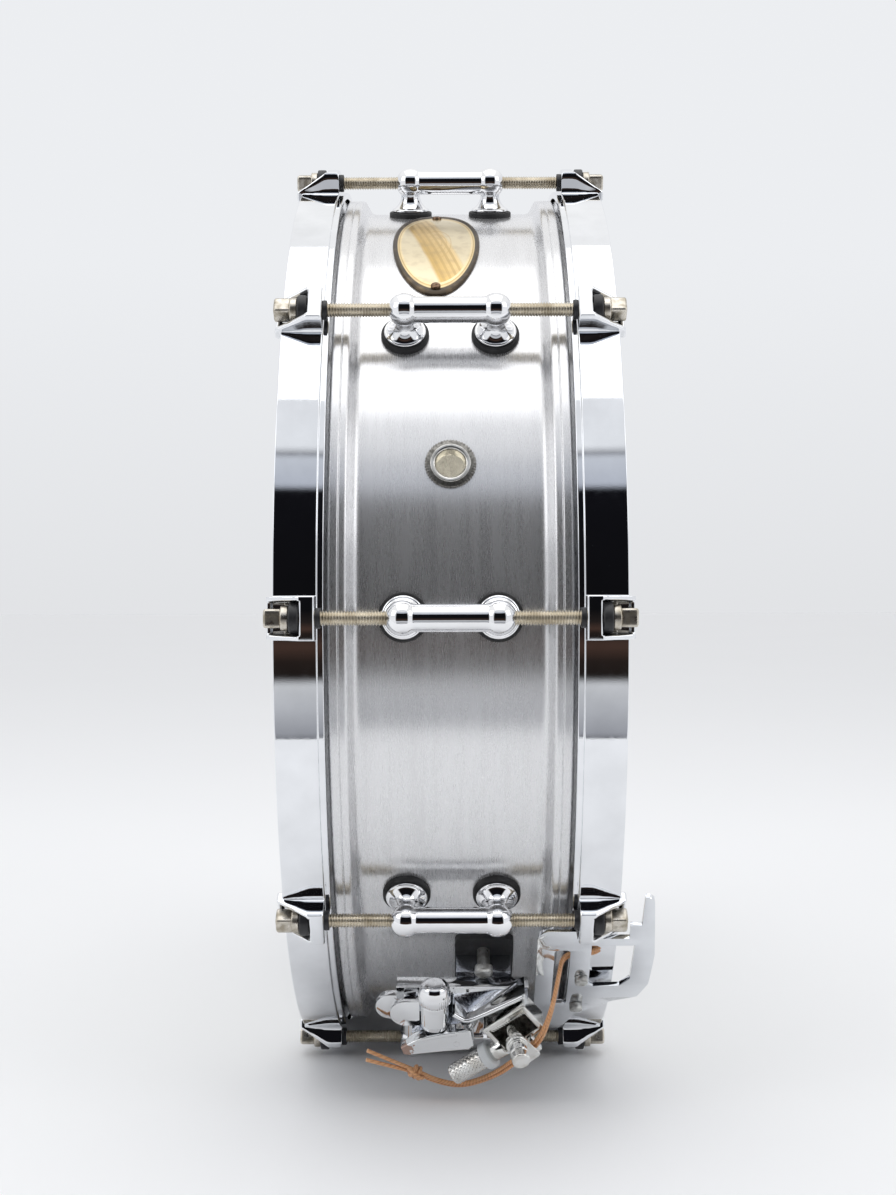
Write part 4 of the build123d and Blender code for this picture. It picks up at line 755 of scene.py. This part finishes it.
def tension_rods():
    """Twenty rods, each on its own body, and the washers, seats and bushings they pass through."""
    washers, seats, bushings = [], [], []
    for side, word in ((1, "snare"), (-1, "batter")):
        for number, angle in enumerate(LUG_ANGLES, start=1):
            node = f"{word}_rod_{number:02d}"
            shank, head = thread_rod(angle, side)
            piece(node + "_thread", [shank], THREAD, node, (node,))
            piece(node + "_head", [head], HEAD_NICKEL, node)
            base, way = place(angle, ROD_CIRCLE, 0), outward(angle)
            for store, low, high, outer, inner, edge in (
                    (washers, 56.2, 58.95, 4.4, 2.9, 0.5), (seats, 52.5, 56.15, 5.5, 3.0, 0.7),
                    (bushings, 45.2, 46.95, 3.6, 2.9, 0.3)):
                section = rounded([(low, inner), (low, outer), (high, outer), (high, inner)],
                                  [0.1, edge, edge, 0.1], 4)
                store.append(turned(section * MM * np.array([side, 1]), base, FACE_X, way, 32))
    piece("rod_washer_rings", washers, HEAD_NICKEL, "drum", ("rod_washers",), wrap=(True, True))
    piece("rod_seat_rings", seats, PLASTIC, "drum", ("rod_seats",), wrap=(True, True))
    piece("rod_bushing_rings", bushings, PLASTIC, "drum", ("rod_bushings",), wrap=(True, True))


tension_rods()

# ==== air vent: a domed ring with a finely notched edge, and the sleeve that goes through the wall ====
def air_vent():
    """Two rings turned about the vent's own line; the outer one is notched by 1 + 0.02 cos(52 t) on its edge."""
    way = outward(VENT_ANGLE)
    dark = rounded([(0.02, 6.4), (0.02, 9.2), (0.75, 9.15), (1.1, 7.4), (1.1, 6.4)], [0.1, 0.2, 0.35, 0.2, 0.1], 4)

    def notched(height, t):
        """The radius's share: 1 + 0.02 cos(52 t) on the edge, 1 elsewhere."""
        return 1 + 0.02 * np.cos(52 * t) * (np.abs(height / MM - 0.5) < 0.45)

    outer = turned(dark * MM, VENT_AT, way, FACE_X, 208, wobble=notched)
    piece("air_vent_washer_ring", [outer], VENT_DARK, "drum", wrap=(True, True))
    rolled = rounded([(-4.2, 5.3), (-4.2, 6.3), (1.05, 6.3), (1.05, 7.4), (1.6, 7.2), (1.6, 5.9), (0.8, 5.3)],
                     [0.2, 0.2, 0.1, 0.3, 0.5, 0.6, 0.6], 5)
    ring = turned(rolled * MM, VENT_AT, way, FACE_X, 64)
    piece("air_vent_ring", [ring], VENT_NICKEL, "drum", ("air_vent_grommet",), wrap=(True, True))


air_vent()

# ==== badge: an oval bent to the shell, with a raised border, an etched face and two pins ====
BADGE_X, BADGE_ANGLE = -5.6, 56.4
BADGE_HALF, BADGE_ARC = 17.4, 40.5
PIN_ANGLES = (45.1, 67.7)


def badge_material():
    """Etched oval: dark border, gold line, then cream and gold fields divided by a slanting sash of fine lines."""
    material, tree, shader = nodes_for("badge_face", (0.7, 0.6, 0.4), 0.75, 0.28)
    uv = tree.nodes.new("ShaderNodeUVMap")
    uv.uv_map = "oval"
    parts = tree.nodes.new("ShaderNodeSeparateXYZ")
    tree.links.new(uv.outputs["UV"], parts.inputs["Vector"])
    x, y = parts.outputs["X"], parts.outputs["Y"]
    squares = sums(tree, "ADD", sums(tree, "MULTIPLY", x, x), sums(tree, "MULTIPLY", y, y))
    radius = sums(tree, "POWER", squares, 0.5)
    sash = sums(tree, "ADD", sums(tree, "MULTIPLY", x, 0.9), sums(tree, "MULTIPLY", y, 0.55))
    lines = sums(tree, "SINE", sums(tree, "MULTIPLY", sash, 46.0))
    rings = sums(tree, "SINE", sums(tree, "MULTIPLY", radius, 60.0))
    cream, gold, pale = (0.76, 0.66, 0.46), (0.60, 0.40, 0.13), (0.80, 0.60, 0.30)
    field = colours(tree, sums(tree, "MULTIPLY_ADD", sash, 0.5, 0.5),
                    [(0.0, cream), (0.30, cream), (0.34, gold), (0.62, pale), (0.66, cream), (1.0, cream)])
    inside = sums(tree, "LESS_THAN", sums(tree, "ABSOLUTE", sash), 0.28)
    fine = sums(tree, "MULTIPLY", sums(tree, "GREATER_THAN", lines, 0.2), inside)
    field = blended(tree, sums(tree, "MULTIPLY", fine, 0.55), field, (0.50, 0.33, 0.12))
    round_lines = sums(tree, "MULTIPLY", sums(tree, "GREATER_THAN", rings, 0.75),
                       sums(tree, "LESS_THAN", radius, 0.42))
    field = blended(tree, sums(tree, "MULTIPLY", round_lines, 0.5), field, (0.62, 0.42, 0.16))
    border = colours(tree, radius, [(0.0, (0, 0, 0)), (0.80, (0, 0, 0)), (0.81, (1, 1, 1)), (1.0, (1, 1, 1))])
    line, groove, dark = (0.85, 0.70, 0.42), (0.55, 0.38, 0.16), (0.06, 0.045, 0.03)
    rim = colours(tree, radius, [(0.0, line), (0.84, line), (0.85, groove), (0.885, (0.80, 0.64, 0.36)),
                                 (0.90, dark), (1.0, dark)])
    age = spread(tree, pattern(tree, 5 * MM, detail=7), 0, 0.35, 0.5, 0.75)
    whole = blended(tree, border, field, rim)
    tree.links.new(blended(tree, age, whole, (0.35, 0.25, 0.14)), shader.inputs["Base Color"])
    raised(tree, shader, fine, 0.05 * MM)
    return material


def badge():
    """Oval: x = a s cos t along the drum, arc = b s sin t round it, height h(s) lifts the border's bead.

    Its UV map is (x / a, arc / b), so the rim is at radius 1 in the material.
    """
    s = np.concatenate([np.linspace(0, 0.9, 14), [0.915, 0.93, 0.95, 0.975, 0.99, 1.0, 1.0]])
    height = np.interp(s, [0, 0.9, 0.915, 0.94, 0.975, 1.0], [0.75, 0.75, 0.8, 1.15, 1.1, 0.6])
    height[-1] = 0.02
    t = np.linspace(0, 2 * np.pi, 96, endpoint=False)
    along = BADGE_HALF * s[:, None] * np.cos(t)
    arc = BADGE_ARC * s[:, None] * np.sin(t)
    turn = np.radians(BADGE_ANGLE) + arc / SHELL_R
    radius = SHELL_R + height[:, None]
    grid = CENTRE + np.stack([BADGE_X + along, -radius * np.cos(turn), radius * np.sin(turn)], -1) * MM
    oval = piece("badge_oval", [grid], badge_material(), "drum", ("badge_plate",), caps=False)
    spots = np.array([vertex.co[:] for vertex in oval.data.vertices]) - CENTRE
    flat = np.stack([(spots[:, 0] / MM - BADGE_X) / BADGE_HALF,
                     (np.arctan2(spots[:, 2], -spots[:, 1]) - np.radians(BADGE_ANGLE)) * SHELL_R / BADGE_ARC], 1)
    corner = np.empty(len(oval.data.loops), int)
    oval.data.loops.foreach_get("vertex_index", corner)
    oval.data.uv_layers.new(name="oval").data.foreach_set("uv", flat[corner].ravel())
    head = np.array([(178.3, 1.9), (178.9, 1.9), (179.2, 1.6), (179.3, 0.8), (179.1, 0.45), (179.1, 0.0)]) * MM
    pins = [turned(head, CENTRE + FACE_X * BADGE_X * MM, outward(angle), FACE_X, 24) for angle in PIN_ANGLES]
    piece("badge_pin_heads", pins, BRONZE, "drum", ("badge_pins",), caps=False)


badge()

# ==== strainer: knob, sleeve, scoop, rim, rail, lever, yoke frame, adjuster, jaw and clamp screw ====
def latch_knob():
    """Turned knob: a notched band r = R (1 + 0.016 cos 44 t) under an oval dome, standing on a plain sleeve."""
    base = face(-6.6, 0, -1.0)
    profile = np.vstack([
        [(8.3, 0.0), (8.3, 5.4), (8.5, 5.8)], [(9.0, 6.15), (12.2, 6.2), (12.6, 6.05)],
        [(12.6 + 4.6 * math.sin(b), 2.7 + 3.3 * math.cos(b)) for b in np.linspace(0.12, 1.4, 10)],
        [(17.2, 2.9), (17.25, 2.0), (17.25, 0.0)]])

    def notched(height, t):
        """The radius's share: 1 + 0.016 cos(44 t) on the band, 1 elsewhere."""
        return 1 + 0.016 * np.cos(44 * t) * ((height / MM > 8.6) & (height / MM < 12.5))

    knob = turned(profile * MM, base, FACE_UP, FACE_X, 264, wobble=notched)
    piece("latch_knob_turned", [knob], LUG_CHROME, "knob", ("latch_knob",), caps=False)
    sleeve = rounded([(-1.2, 4.6), (-1.2, 5.32), (8.15, 5.32), (8.15, 2.2)], [0.1, 0.4, 0.5, 0.2], 4)
    piece("knob_sleeve", [turned(sleeve * MM, base, FACE_UP, FACE_X, 48)], LEVER_SKIN, "drum",
          wrap=(True, True))


def scoop_and_rim():
    """Scoop: u = low(a) + (high(a) - low(a)) v and n = -8.4 + 7.8 rise(a) (1 - v)^1.7, out to its lower lip.

    A round bead runs along the lip, and a strip with two rolled edges faces the rail above.
    """
    a = np.linspace(-15.5, 29.0, 90)
    low = np.interp(a, [-15.5, -11.0, -5.0, 0.6, 3.0, 5.6, 8.6, 28.4],
                    [-6.7, -4.7, -3.1, -2.2, -1.9, -0.3, 1.2, 11.2])
    low = np.minimum(low, 8.2)
    high = np.interp(a, [-15.5, -12.5, -10.0, -3.0, -1.0, 0.5, 29.0], [-5.6, -2.4, -1.6, -1.6, 3.0, 8.9, 8.9])
    v = np.linspace(0, 1, 20)[:, None]
    rise = 1 - 0.25 * np.clip((a - 14) / 15, 0, 1)
    scoop = np.stack([a + 0 * v, low + (high - low) * v, -8.4 + 7.8 * rise * (1 - v) ** 1.7], -1)
    piece("strainer_scoop", [on_face(scoop)], PITTED, "drum", wrap=(False, False))
    rim_line = spline_line([face(0.4, 3.4, 0.5), face(3.0, 1.4, 0.7), face(5.4, 0.2, 0.7), face(8.6, 1.4, 0.7),
                            face(18.0, 6.6, 0.6), face(27.4, 12.0, 0.5)])
    piece("strainer_rim_bead", [tube(rim_line, 0.95 * MM, 14)], LEVER_SKIN, "drum")
    rail = rounded([(-8.0, 3.05), (-7.85, 3.05), (-7.85, 9.7), (-8.6, 9.7)], [0.05, 0.6, 0.6, 0.05], 4,
                   closed=False)
    strip = np.array([[face(a, up, out) for a in (-21.35, 29.35)] for out, up in rail])
    piece("strainer_rail_face", [strip], LEVER_SKIN, "drum", wrap=(False, False))


def lever():
    """Lever: a front plate with rounded edges, a thick lip swept along its top curve, its barrel and a ring mark.

    The lip's section stands square to the curve, thinner towards the tip by swell, with its back cut short there.
    """
    curve = spline_line([face(*spot, 0) for spot in
                         ((-19.6, -9.8), (-15.8, -7.0), (-11.0, -4.9), (-5.0, -3.3), (0.6, -2.4), (8.4, -1.6))])
    local = np.stack([(curve - FACE_ORIGIN) @ FACE_X, (curve - FACE_ORIGIN) @ FACE_UP], 1) / MM
    outline = np.vstack([local[::4], [(8.4, -8.4), (6.4, -10.5), (-6.0, -11.9), (-17.0, -13.3), (-18.6, -12.8)]])
    axes = (FACE_ORIGIN, FACE_X * MM, FACE_UP * MM, FACE_OUT * MM)
    plate("lever_front", outline, (2.0, 4.25), axes, 0.35, LEVER_PLATE, "lever",
          ("throw_off_lever",))
    upto = local[local[:, 0] < 1.6]
    square = square_to(np.gradient(upto, axis=0))
    section = rounded([(-1.7, -2.4), (0.1, -2.4), (0.1, 4.5), (-1.7, 4.5)], [0.5, 0.7, 0.7, 0.5], 5)
    swell = np.clip(np.linspace(0.45, 1.3, len(upto)), 0, 1)[:, None, None]
    flat = upto[:, None] - square[:, None] * section[None, :, :1] * swell
    back = 3.4 * np.clip(1 - (upto[:, 0] + 19.6) / 9, 0, 1)[:, None, None]
    depth = section[None, :, 1:] + back * (section[None, :, 1:] < 0)
    piece("lever_lip", [on_face(np.concatenate([flat, depth], -1))], LEVER_PLATE, "lever")
    barrel = rounded([(-12.0, 0.0), (-12.0, 2.6), (-3.6, 2.6), (-3.6, 0.0)], [0, 0.3, 0.3, 0], 4, closed=False)
    piece("lever_barrel", [turned(barrel * MM, face(5.8, 0, -1.6), FACE_UP, FACE_X, 32)], LEVER_SKIN, "lever",
          caps=False)
    ring = rounded([(4.2, 1.35), (4.28, 1.35), (4.32, 1.1), (4.26, 0.95)], [0, 0.03, 0.1, 0], 3, closed=False)
    piece("lever_ring_mark", [turned(ring * MM, face(1.6, -8.0, 0), FACE_OUT, FACE_X, 32)], LEVER_SKIN, "lever",
          caps=False)


def yoke_frame():
    """Yoke frame: a rounded section carried round a rounded square, a dark sheet over its floor that paints the
    shade and grime inside it, and fifteen round teeth.
    """
    path = rounded([(-9.7, -6.9), (9.7, -6.9), (9.7, 6.9), (-9.7, 6.9)], 1.3, 6)
    section = rounded([(0.06, -5.05), (0.06, 4.1), (-1.86, 4.1), (-1.86, -5.05)], [0.5, 0.45, 0.45, 0.3], 4)
    outer = square_to(np.roll(path, -1, 0) - np.roll(path, 1, 0))
    flat = path[:, None] + outer[:, None] * section[None, :, :1]
    depth = np.broadcast_to(section[None, :, 1:], flat[..., :1].shape)
    frame_grid = YOKE_ORIGIN + (flat[..., :1] * YOKE_X + flat[..., 1:] * YOKE_UP + depth * FACE_OUT) * MM
    piece("yoke_frame", [frame_grid], CLAMP_NICKEL, "yoke", wrap=(True, True))
    # A dark sheet just over the yoke's floor: painted shade inside the frame, with some grime.
    inside = np.array([(-7.8, -5.0), (7.8, -5.0), (7.8, 3.0), (-7.8, 3.0)])
    yoke_axes = (YOKE_ORIGIN, YOKE_X * MM, YOKE_UP * MM, FACE_OUT * MM)
    plate("yoke_floor_shade_sheet", inside, (-3.18, -3.02), yoke_axes, 0.04, SHADE_AND_GRIME, "yoke")
    tooth = rounded([(-0.9, 0.0), (-0.9, 0.34), (3.0, 0.34), (3.0, 0.0)], [0, 0.1, 0.1, 0], 3, closed=False) * MM
    teeth = [turned(tooth, yoke(p, 3.25, 0), FACE_OUT, YOKE_X, 8) for p in np.linspace(-7.0, 7.0, 15)]
    piece("yoke_teeth", teeth, CLAMP_NICKEL, "yoke", caps=False)


def adjuster():
    """Grip with a diamond knurl, r = R (1 + 0.1 max(0, sin(m t + k h)) max(0, sin(m t - k h))), and its collar."""
    heights = np.concatenate([[0.0, 0.0, 0.25], np.linspace(0.7, 14.3, 84), [14.7, 14.85, 15.0, 15.0]])
    radii = np.concatenate([[0.0, 3.4, 3.8], np.full(84, 3.86), [3.8, 3.5, 3.3, 0.0]])

    def knurled(h, t):
        """The radius's share: two slanting waves' upper halves, multiplied, between the plain ends."""
        slant = 3.4 * h / MM
        diamonds = np.maximum(0, np.sin(16 * t + slant)) * np.maximum(0, np.sin(16 * t - slant))
        return 1 + 0.10 * diamonds * ((h / MM > 0.6) & (h / MM < 14.4))

    profile = np.stack([heights, radii], 1) * MM
    grip = turned(profile, yoke(-17.2, -4.6, 3.0), -YOKE_X, FACE_OUT, 176, wobble=knurled)
    piece("tension_adjuster_grip", [grip], CLAMP_NICKEL, "adjuster", ("tension_adjuster",),
          caps=False)
    collar = rounded([(0, 2.2), (0, 5.5), (3.4, 5.5), (3.4, 2.2)], [0.1, 0.6, 0.6, 0.1], 5)
    ring = turned(collar * MM, yoke(-13.6, -4.6, 3.0), -YOKE_X, FACE_OUT, 48)
    piece("adjuster_collar_ring", [ring], COLLAR_WHITE, "yoke", ("adjuster_collar",),
          wrap=(True, True))


def clamp():
    """Slim rounded jaw bar over the cords, and a leaning turned post with a flange and a grooved cap."""
    lean = math.radians(8.0)
    post = FACE_OUT * math.cos(lean) + FACE_X * math.sin(lean)
    side = np.cross(YOKE_UP, post)
    foot = yoke(-1.6, 0, -5.0)
    bar = rounded([(-3.2, -11.6), (3.6, -11.6), (3.6, 3.2), (-3.2, 3.2)], 1.6, 5)
    jaw_axes = (foot, side * MM, np.cross(post, side) * MM, post * MM)
    plate("clamp_jaw_bar", bar, (13.55, 15.25), jaw_axes, 0.3, CLAMP_NICKEL, "yoke",
          ("clamp_jaw",))
    corners = [(2.7, 0.0), (2.7, 3.1), (15.3, 3.1), (15.3, 4.1), (17.1, 4.1), (17.1, 3.0), (19.4, 3.0),
               (19.4, 3.4), (21.6, 3.4), (21.9, 2.9), (22.4, 3.4), (26.0, 3.4), (26.0, 0.0)]
    screw = rounded(corners, [0, 0.2, 0.2, 0.5, 0.5, 0.3, 0.2, 0.3, 0.3, 0.2, 0.3, 0.7, 0], 4, closed=False)
    piece("clamp_screw_turned", [turned(screw * MM, foot, post, YOKE_UP, 48)], CLAMP_NICKEL, "clamp",
          ("clamp_screw",), caps=False)


def lever_plate_material():
    """Bright plate, worn through to brown metal at its tip, with a noisy edge to the worn patch."""
    material, tree, shader = nodes_for("lever_plate", (0.84, 0.85, 0.86), 1.0, 0.1)
    far = distance_to(tree, face(-17.6, -10.4, 4.6))
    edge = spread(tree, pattern(tree, 1.6 * MM, detail=6), -1.4 * MM, 1.4 * MM, 0.35, 0.65)
    ragged = sums(tree, "ADD", far, edge)
    worn = sums(tree, "LESS_THAN", ragged, 2.7 * MM)
    wear = sums(tree, "MULTIPLY", worn, 0.85)
    haze = spread(tree, pattern(tree, 3 * MM, detail=6), 0.08, 0.2)
    tree.links.new(blended(tree, wear, (0.80, 0.81, 0.82), (0.36, 0.21, 0.15)), shader.inputs["Base Color"])
    tree.links.new(sums(tree, "MULTIPLY_ADD", worn, 0.25, haze), shader.inputs["Roughness"])
    raised(tree, shader, sums(tree, "MULTIPLY", worn, -1.0), 0.08 * MM)
    return material


LEVER_PLATE = lever_plate_material()
latch_knob()
scoop_and_rim()
lever()
yoke_frame()
adjuster()
clamp()

# ==== pressed and cut metal parts: the CAD solids with every sharp edge rolled over ====
MERGE_DISTANCE = 2e-6
FLAT_ANGLE = math.radians(0.6)
SHARP_ANGLE = math.radians(35)


def softened(node, width, material, body):
    """A merged copy of a CAD node, flat faces joined, its sharp edges bevelled to a width in millimetres."""
    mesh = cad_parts[node].data.copy()
    work = bmesh.new()
    work.from_mesh(mesh)
    bmesh.ops.remove_doubles(work, verts=work.verts, dist=MERGE_DISTANCE)
    bmesh.ops.dissolve_limit(work, angle_limit=FLAT_ANGLE, verts=work.verts, edges=work.edges)
    work.to_mesh(mesh)
    work.free()
    mesh.polygons.foreach_set("use_smooth", np.ones(len(mesh.polygons), bool))
    mesh.materials.clear()
    mesh.materials.append(material)
    obj = bpy.data.objects.new(node + "_soft", mesh)
    bpy.context.collection.objects.link(obj)
    rolled = obj.modifiers.new("rolled_edges", "BEVEL")
    rolled.width = width * MM
    rolled.segments = 2
    rolled.limit_method = "ANGLE"
    rolled.angle_limit = SHARP_ANGLE
    rolled.harden_normals = True
    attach(obj, body)
    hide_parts(node)


for node, width, material, body, slot in (
        ("strainer_guard", 0.4, GUARD_NICKEL, "drum", "guard_nickel"),
        ("butt_guard", 0.4, GUARD_NICKEL, "drum", "guard_nickel"),
        ("guard_screws", 0.3, SCREW_STEEL, "drum", "screw_steel"),
        ("strainer_bracket", 0.6, PITTED, "drum", "strainer_chrome"),
        ("strainer_bolts", 0.3, SCREW_STEEL, "drum", "screw_steel"),
        ("strainer_body", 0.35, LEVER_SKIN, "drum", "strainer_chrome"),
        ("clamp_yoke", 0.25, CLAMP_NICKEL, "yoke", "clamp_nickel"),
        ("butt_plate", 0.6, PITTED, "drum", "strainer_chrome"),
        ("butt_screws", 0.3, SCREW_STEEL, "drum", "screw_steel")):
    softened(node, width, material, body)

# ==== finishes for the CAD nodes that are shown as they are ====
for node, material in (
        ("air_vent_washer", VENT_NICKEL), ("lug_screws", SCREW_STEEL), ("snare_head", FILM), ("batter_head", FILM),
        ("snare_flesh_hoop", GUARD_NICKEL), ("batter_flesh_hoop", GUARD_NICKEL), ("snare_wires", WIRE),
        ("strainer_pad", RUBBER), ("lever_pin", SCREW_STEEL)):
    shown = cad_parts[node]
    shown.data.materials.clear()
    shown.data.materials.append(material)

# ==== floor and light: a pale floor, a white surround with a dim window in front, and soft lamps ====
FLOOR_TONE = (0.86, 0.865, 0.875)
HORIZON = (0.76, 0.77, 0.79)
FLOOR_FRONT = -0.42
# The front window's tones by height in degrees: white floor light, a grey sill, a dark pane, and a pale ceiling.
WINDOW = [(-90, (0.80, 0.81, 0.83)), (-34, (0.82, 0.83, 0.85)), (-32.5, (0.05, 0.05, 0.06)),
          (-30.5, (0.34, 0.35, 0.38)), (-24, (0.50, 0.51, 0.54)), (-18, (0.62, 0.63, 0.65)),
          (-16, (0.014, 0.011, 0.010)), (-12, (0.020, 0.014, 0.012)), (-9, (0.060, 0.034, 0.026)),
          (-4, (0.018, 0.014, 0.013)), (5, (0.005, 0.005, 0.006)), (30.5, (0.006, 0.006, 0.008)),
          (32, (0.50, 0.53, 0.60)), (39, (0.62, 0.65, 0.71)), (40, (0.30, 0.31, 0.34)), (42, (0.88, 0.90, 0.93)),
          (60, (0.86, 0.87, 0.90))]
WINDOW_SIDES = (math.radians(37), math.radians(43))


def floor():
    """A wide flat sheet at z = 0: (x, y, 0), y from FLOOR_FRONT back to a far horizon."""
    along, across = np.meshgrid(np.array([FLOOR_FRONT, 0.0, 0.5, 2.0, 9.0]), np.array([-6.0, -1.0, 0.0, 1.0, 6.0]))
    grid = np.stack([across, along, 0 * along], -1)
    material, tree, shader = nodes_for("pale_floor", FLOOR_TONE, 0.0, 0.7)
    cloud = spread(tree, pattern(tree, 0.4, detail=3), 0, 0.4)
    tree.links.new(blended(tree, cloud, FLOOR_TONE, tuple(c * 0.985 for c in FLOOR_TONE)),
                   shader.inputs["Base Color"])
    piece("pale_floor", [grid], material, body=None, wrap=(False, False))


floor()


def surround():
    """World: plain pale to the camera; to everything else white above and below a dim front window."""
    world = bpy.data.worlds.new("studio")
    bpy.context.scene.world = world
    world.use_nodes = True
    tree = world.node_tree
    tree.nodes.clear()
    coords = tree.nodes.new("ShaderNodeTexCoord")
    parts = tree.nodes.new("ShaderNodeSeparateXYZ")
    tree.links.new(coords.outputs["Generated"], parts.inputs["Vector"])
    x, y, z = (parts.outputs[name] for name in "XYZ")
    level = sums(tree, "DIVIDE", sums(tree, "ARCSINE", z), math.pi)
    height = sums(tree, "ADD", level, 0.5)
    window = colours(tree, height, [(degrees / 180 + 0.5, tone) for degrees, tone in WINDOW])
    plain = colours(tree, height, [(0.0, (0.80, 0.81, 0.83)), (0.45, (0.90, 0.91, 0.93)),
                                   (0.62, (0.80, 0.81, 0.84)), (0.75, (1.0, 1.0, 1.0))])
    ahead = sums(tree, "ARCTAN2", sums(tree, "ABSOLUTE", x), sums(tree, "MULTIPLY", y, -1.0))
    side = spread(tree, ahead, 0, 1, *WINDOW_SIDES)
    shown = blended(tree, side, window, plain)
    ray = tree.nodes.new("ShaderNodeLightPath")
    backdrop = colours(tree, height, [(0.0, HORIZON), (0.495, HORIZON), (0.56, (0.84, 0.855, 0.88)),
                                      (1.0, (0.86, 0.87, 0.89))])
    to_camera = blended(tree, ray.outputs["Is Camera Ray"], shown, backdrop)
    light = tree.nodes.new("ShaderNodeBackground")
    light.inputs["Strength"].default_value = 1.0
    out = tree.nodes.new("ShaderNodeOutputWorld")
    tree.links.new(to_camera, light.inputs["Color"])
    tree.links.new(light.outputs["Background"], out.inputs["Surface"])


surround()


def lamp(name, spot, target, size, power):
    """A square soft lamp that looks at a target."""
    data = bpy.data.lights.new(name, "AREA")
    data.shape = "SQUARE"
    data.size = size
    data.energy = power
    holder = bpy.data.objects.new(name, data)
    bpy.context.collection.objects.link(holder)
    away = np.array(spot) - np.array(target)
    away /= np.linalg.norm(away)
    across = np.cross([0.0, 0.001, 1.0], away)
    across /= np.linalg.norm(across)
    turn = np.eye(4)
    turn[:3, 0], turn[:3, 1], turn[:3, 2], turn[:3, 3] = across, np.cross(away, across), away, spot
    holder.matrix_world = Matrix(turn.tolist())


lamp("top_lamp", (0.0, -0.3, 1.6), tuple(CENTRE), 1.4, 6.0)
lamp("left_lamp", (-1.5, -0.9, 1.1), tuple(CENTRE), 0.9, 3.0)
lamp("right_lamp", (1.5, -0.9, 1.1), tuple(CENTRE), 0.9, 3.0)


def glow(name, spot, colour, power, radius):
    """A small warm lamp inside the shell, seen only through the vent."""
    data = bpy.data.lights.new(name, "POINT")
    data.color = colour
    data.energy = power
    data.shadow_soft_size = radius
    holder = bpy.data.objects.new(name, data)
    holder.location = spot
    bpy.context.collection.objects.link(holder)


glow("inside_glow", tuple(CENTRE), (1.0, 0.93, 0.80), 0.22, 0.03)
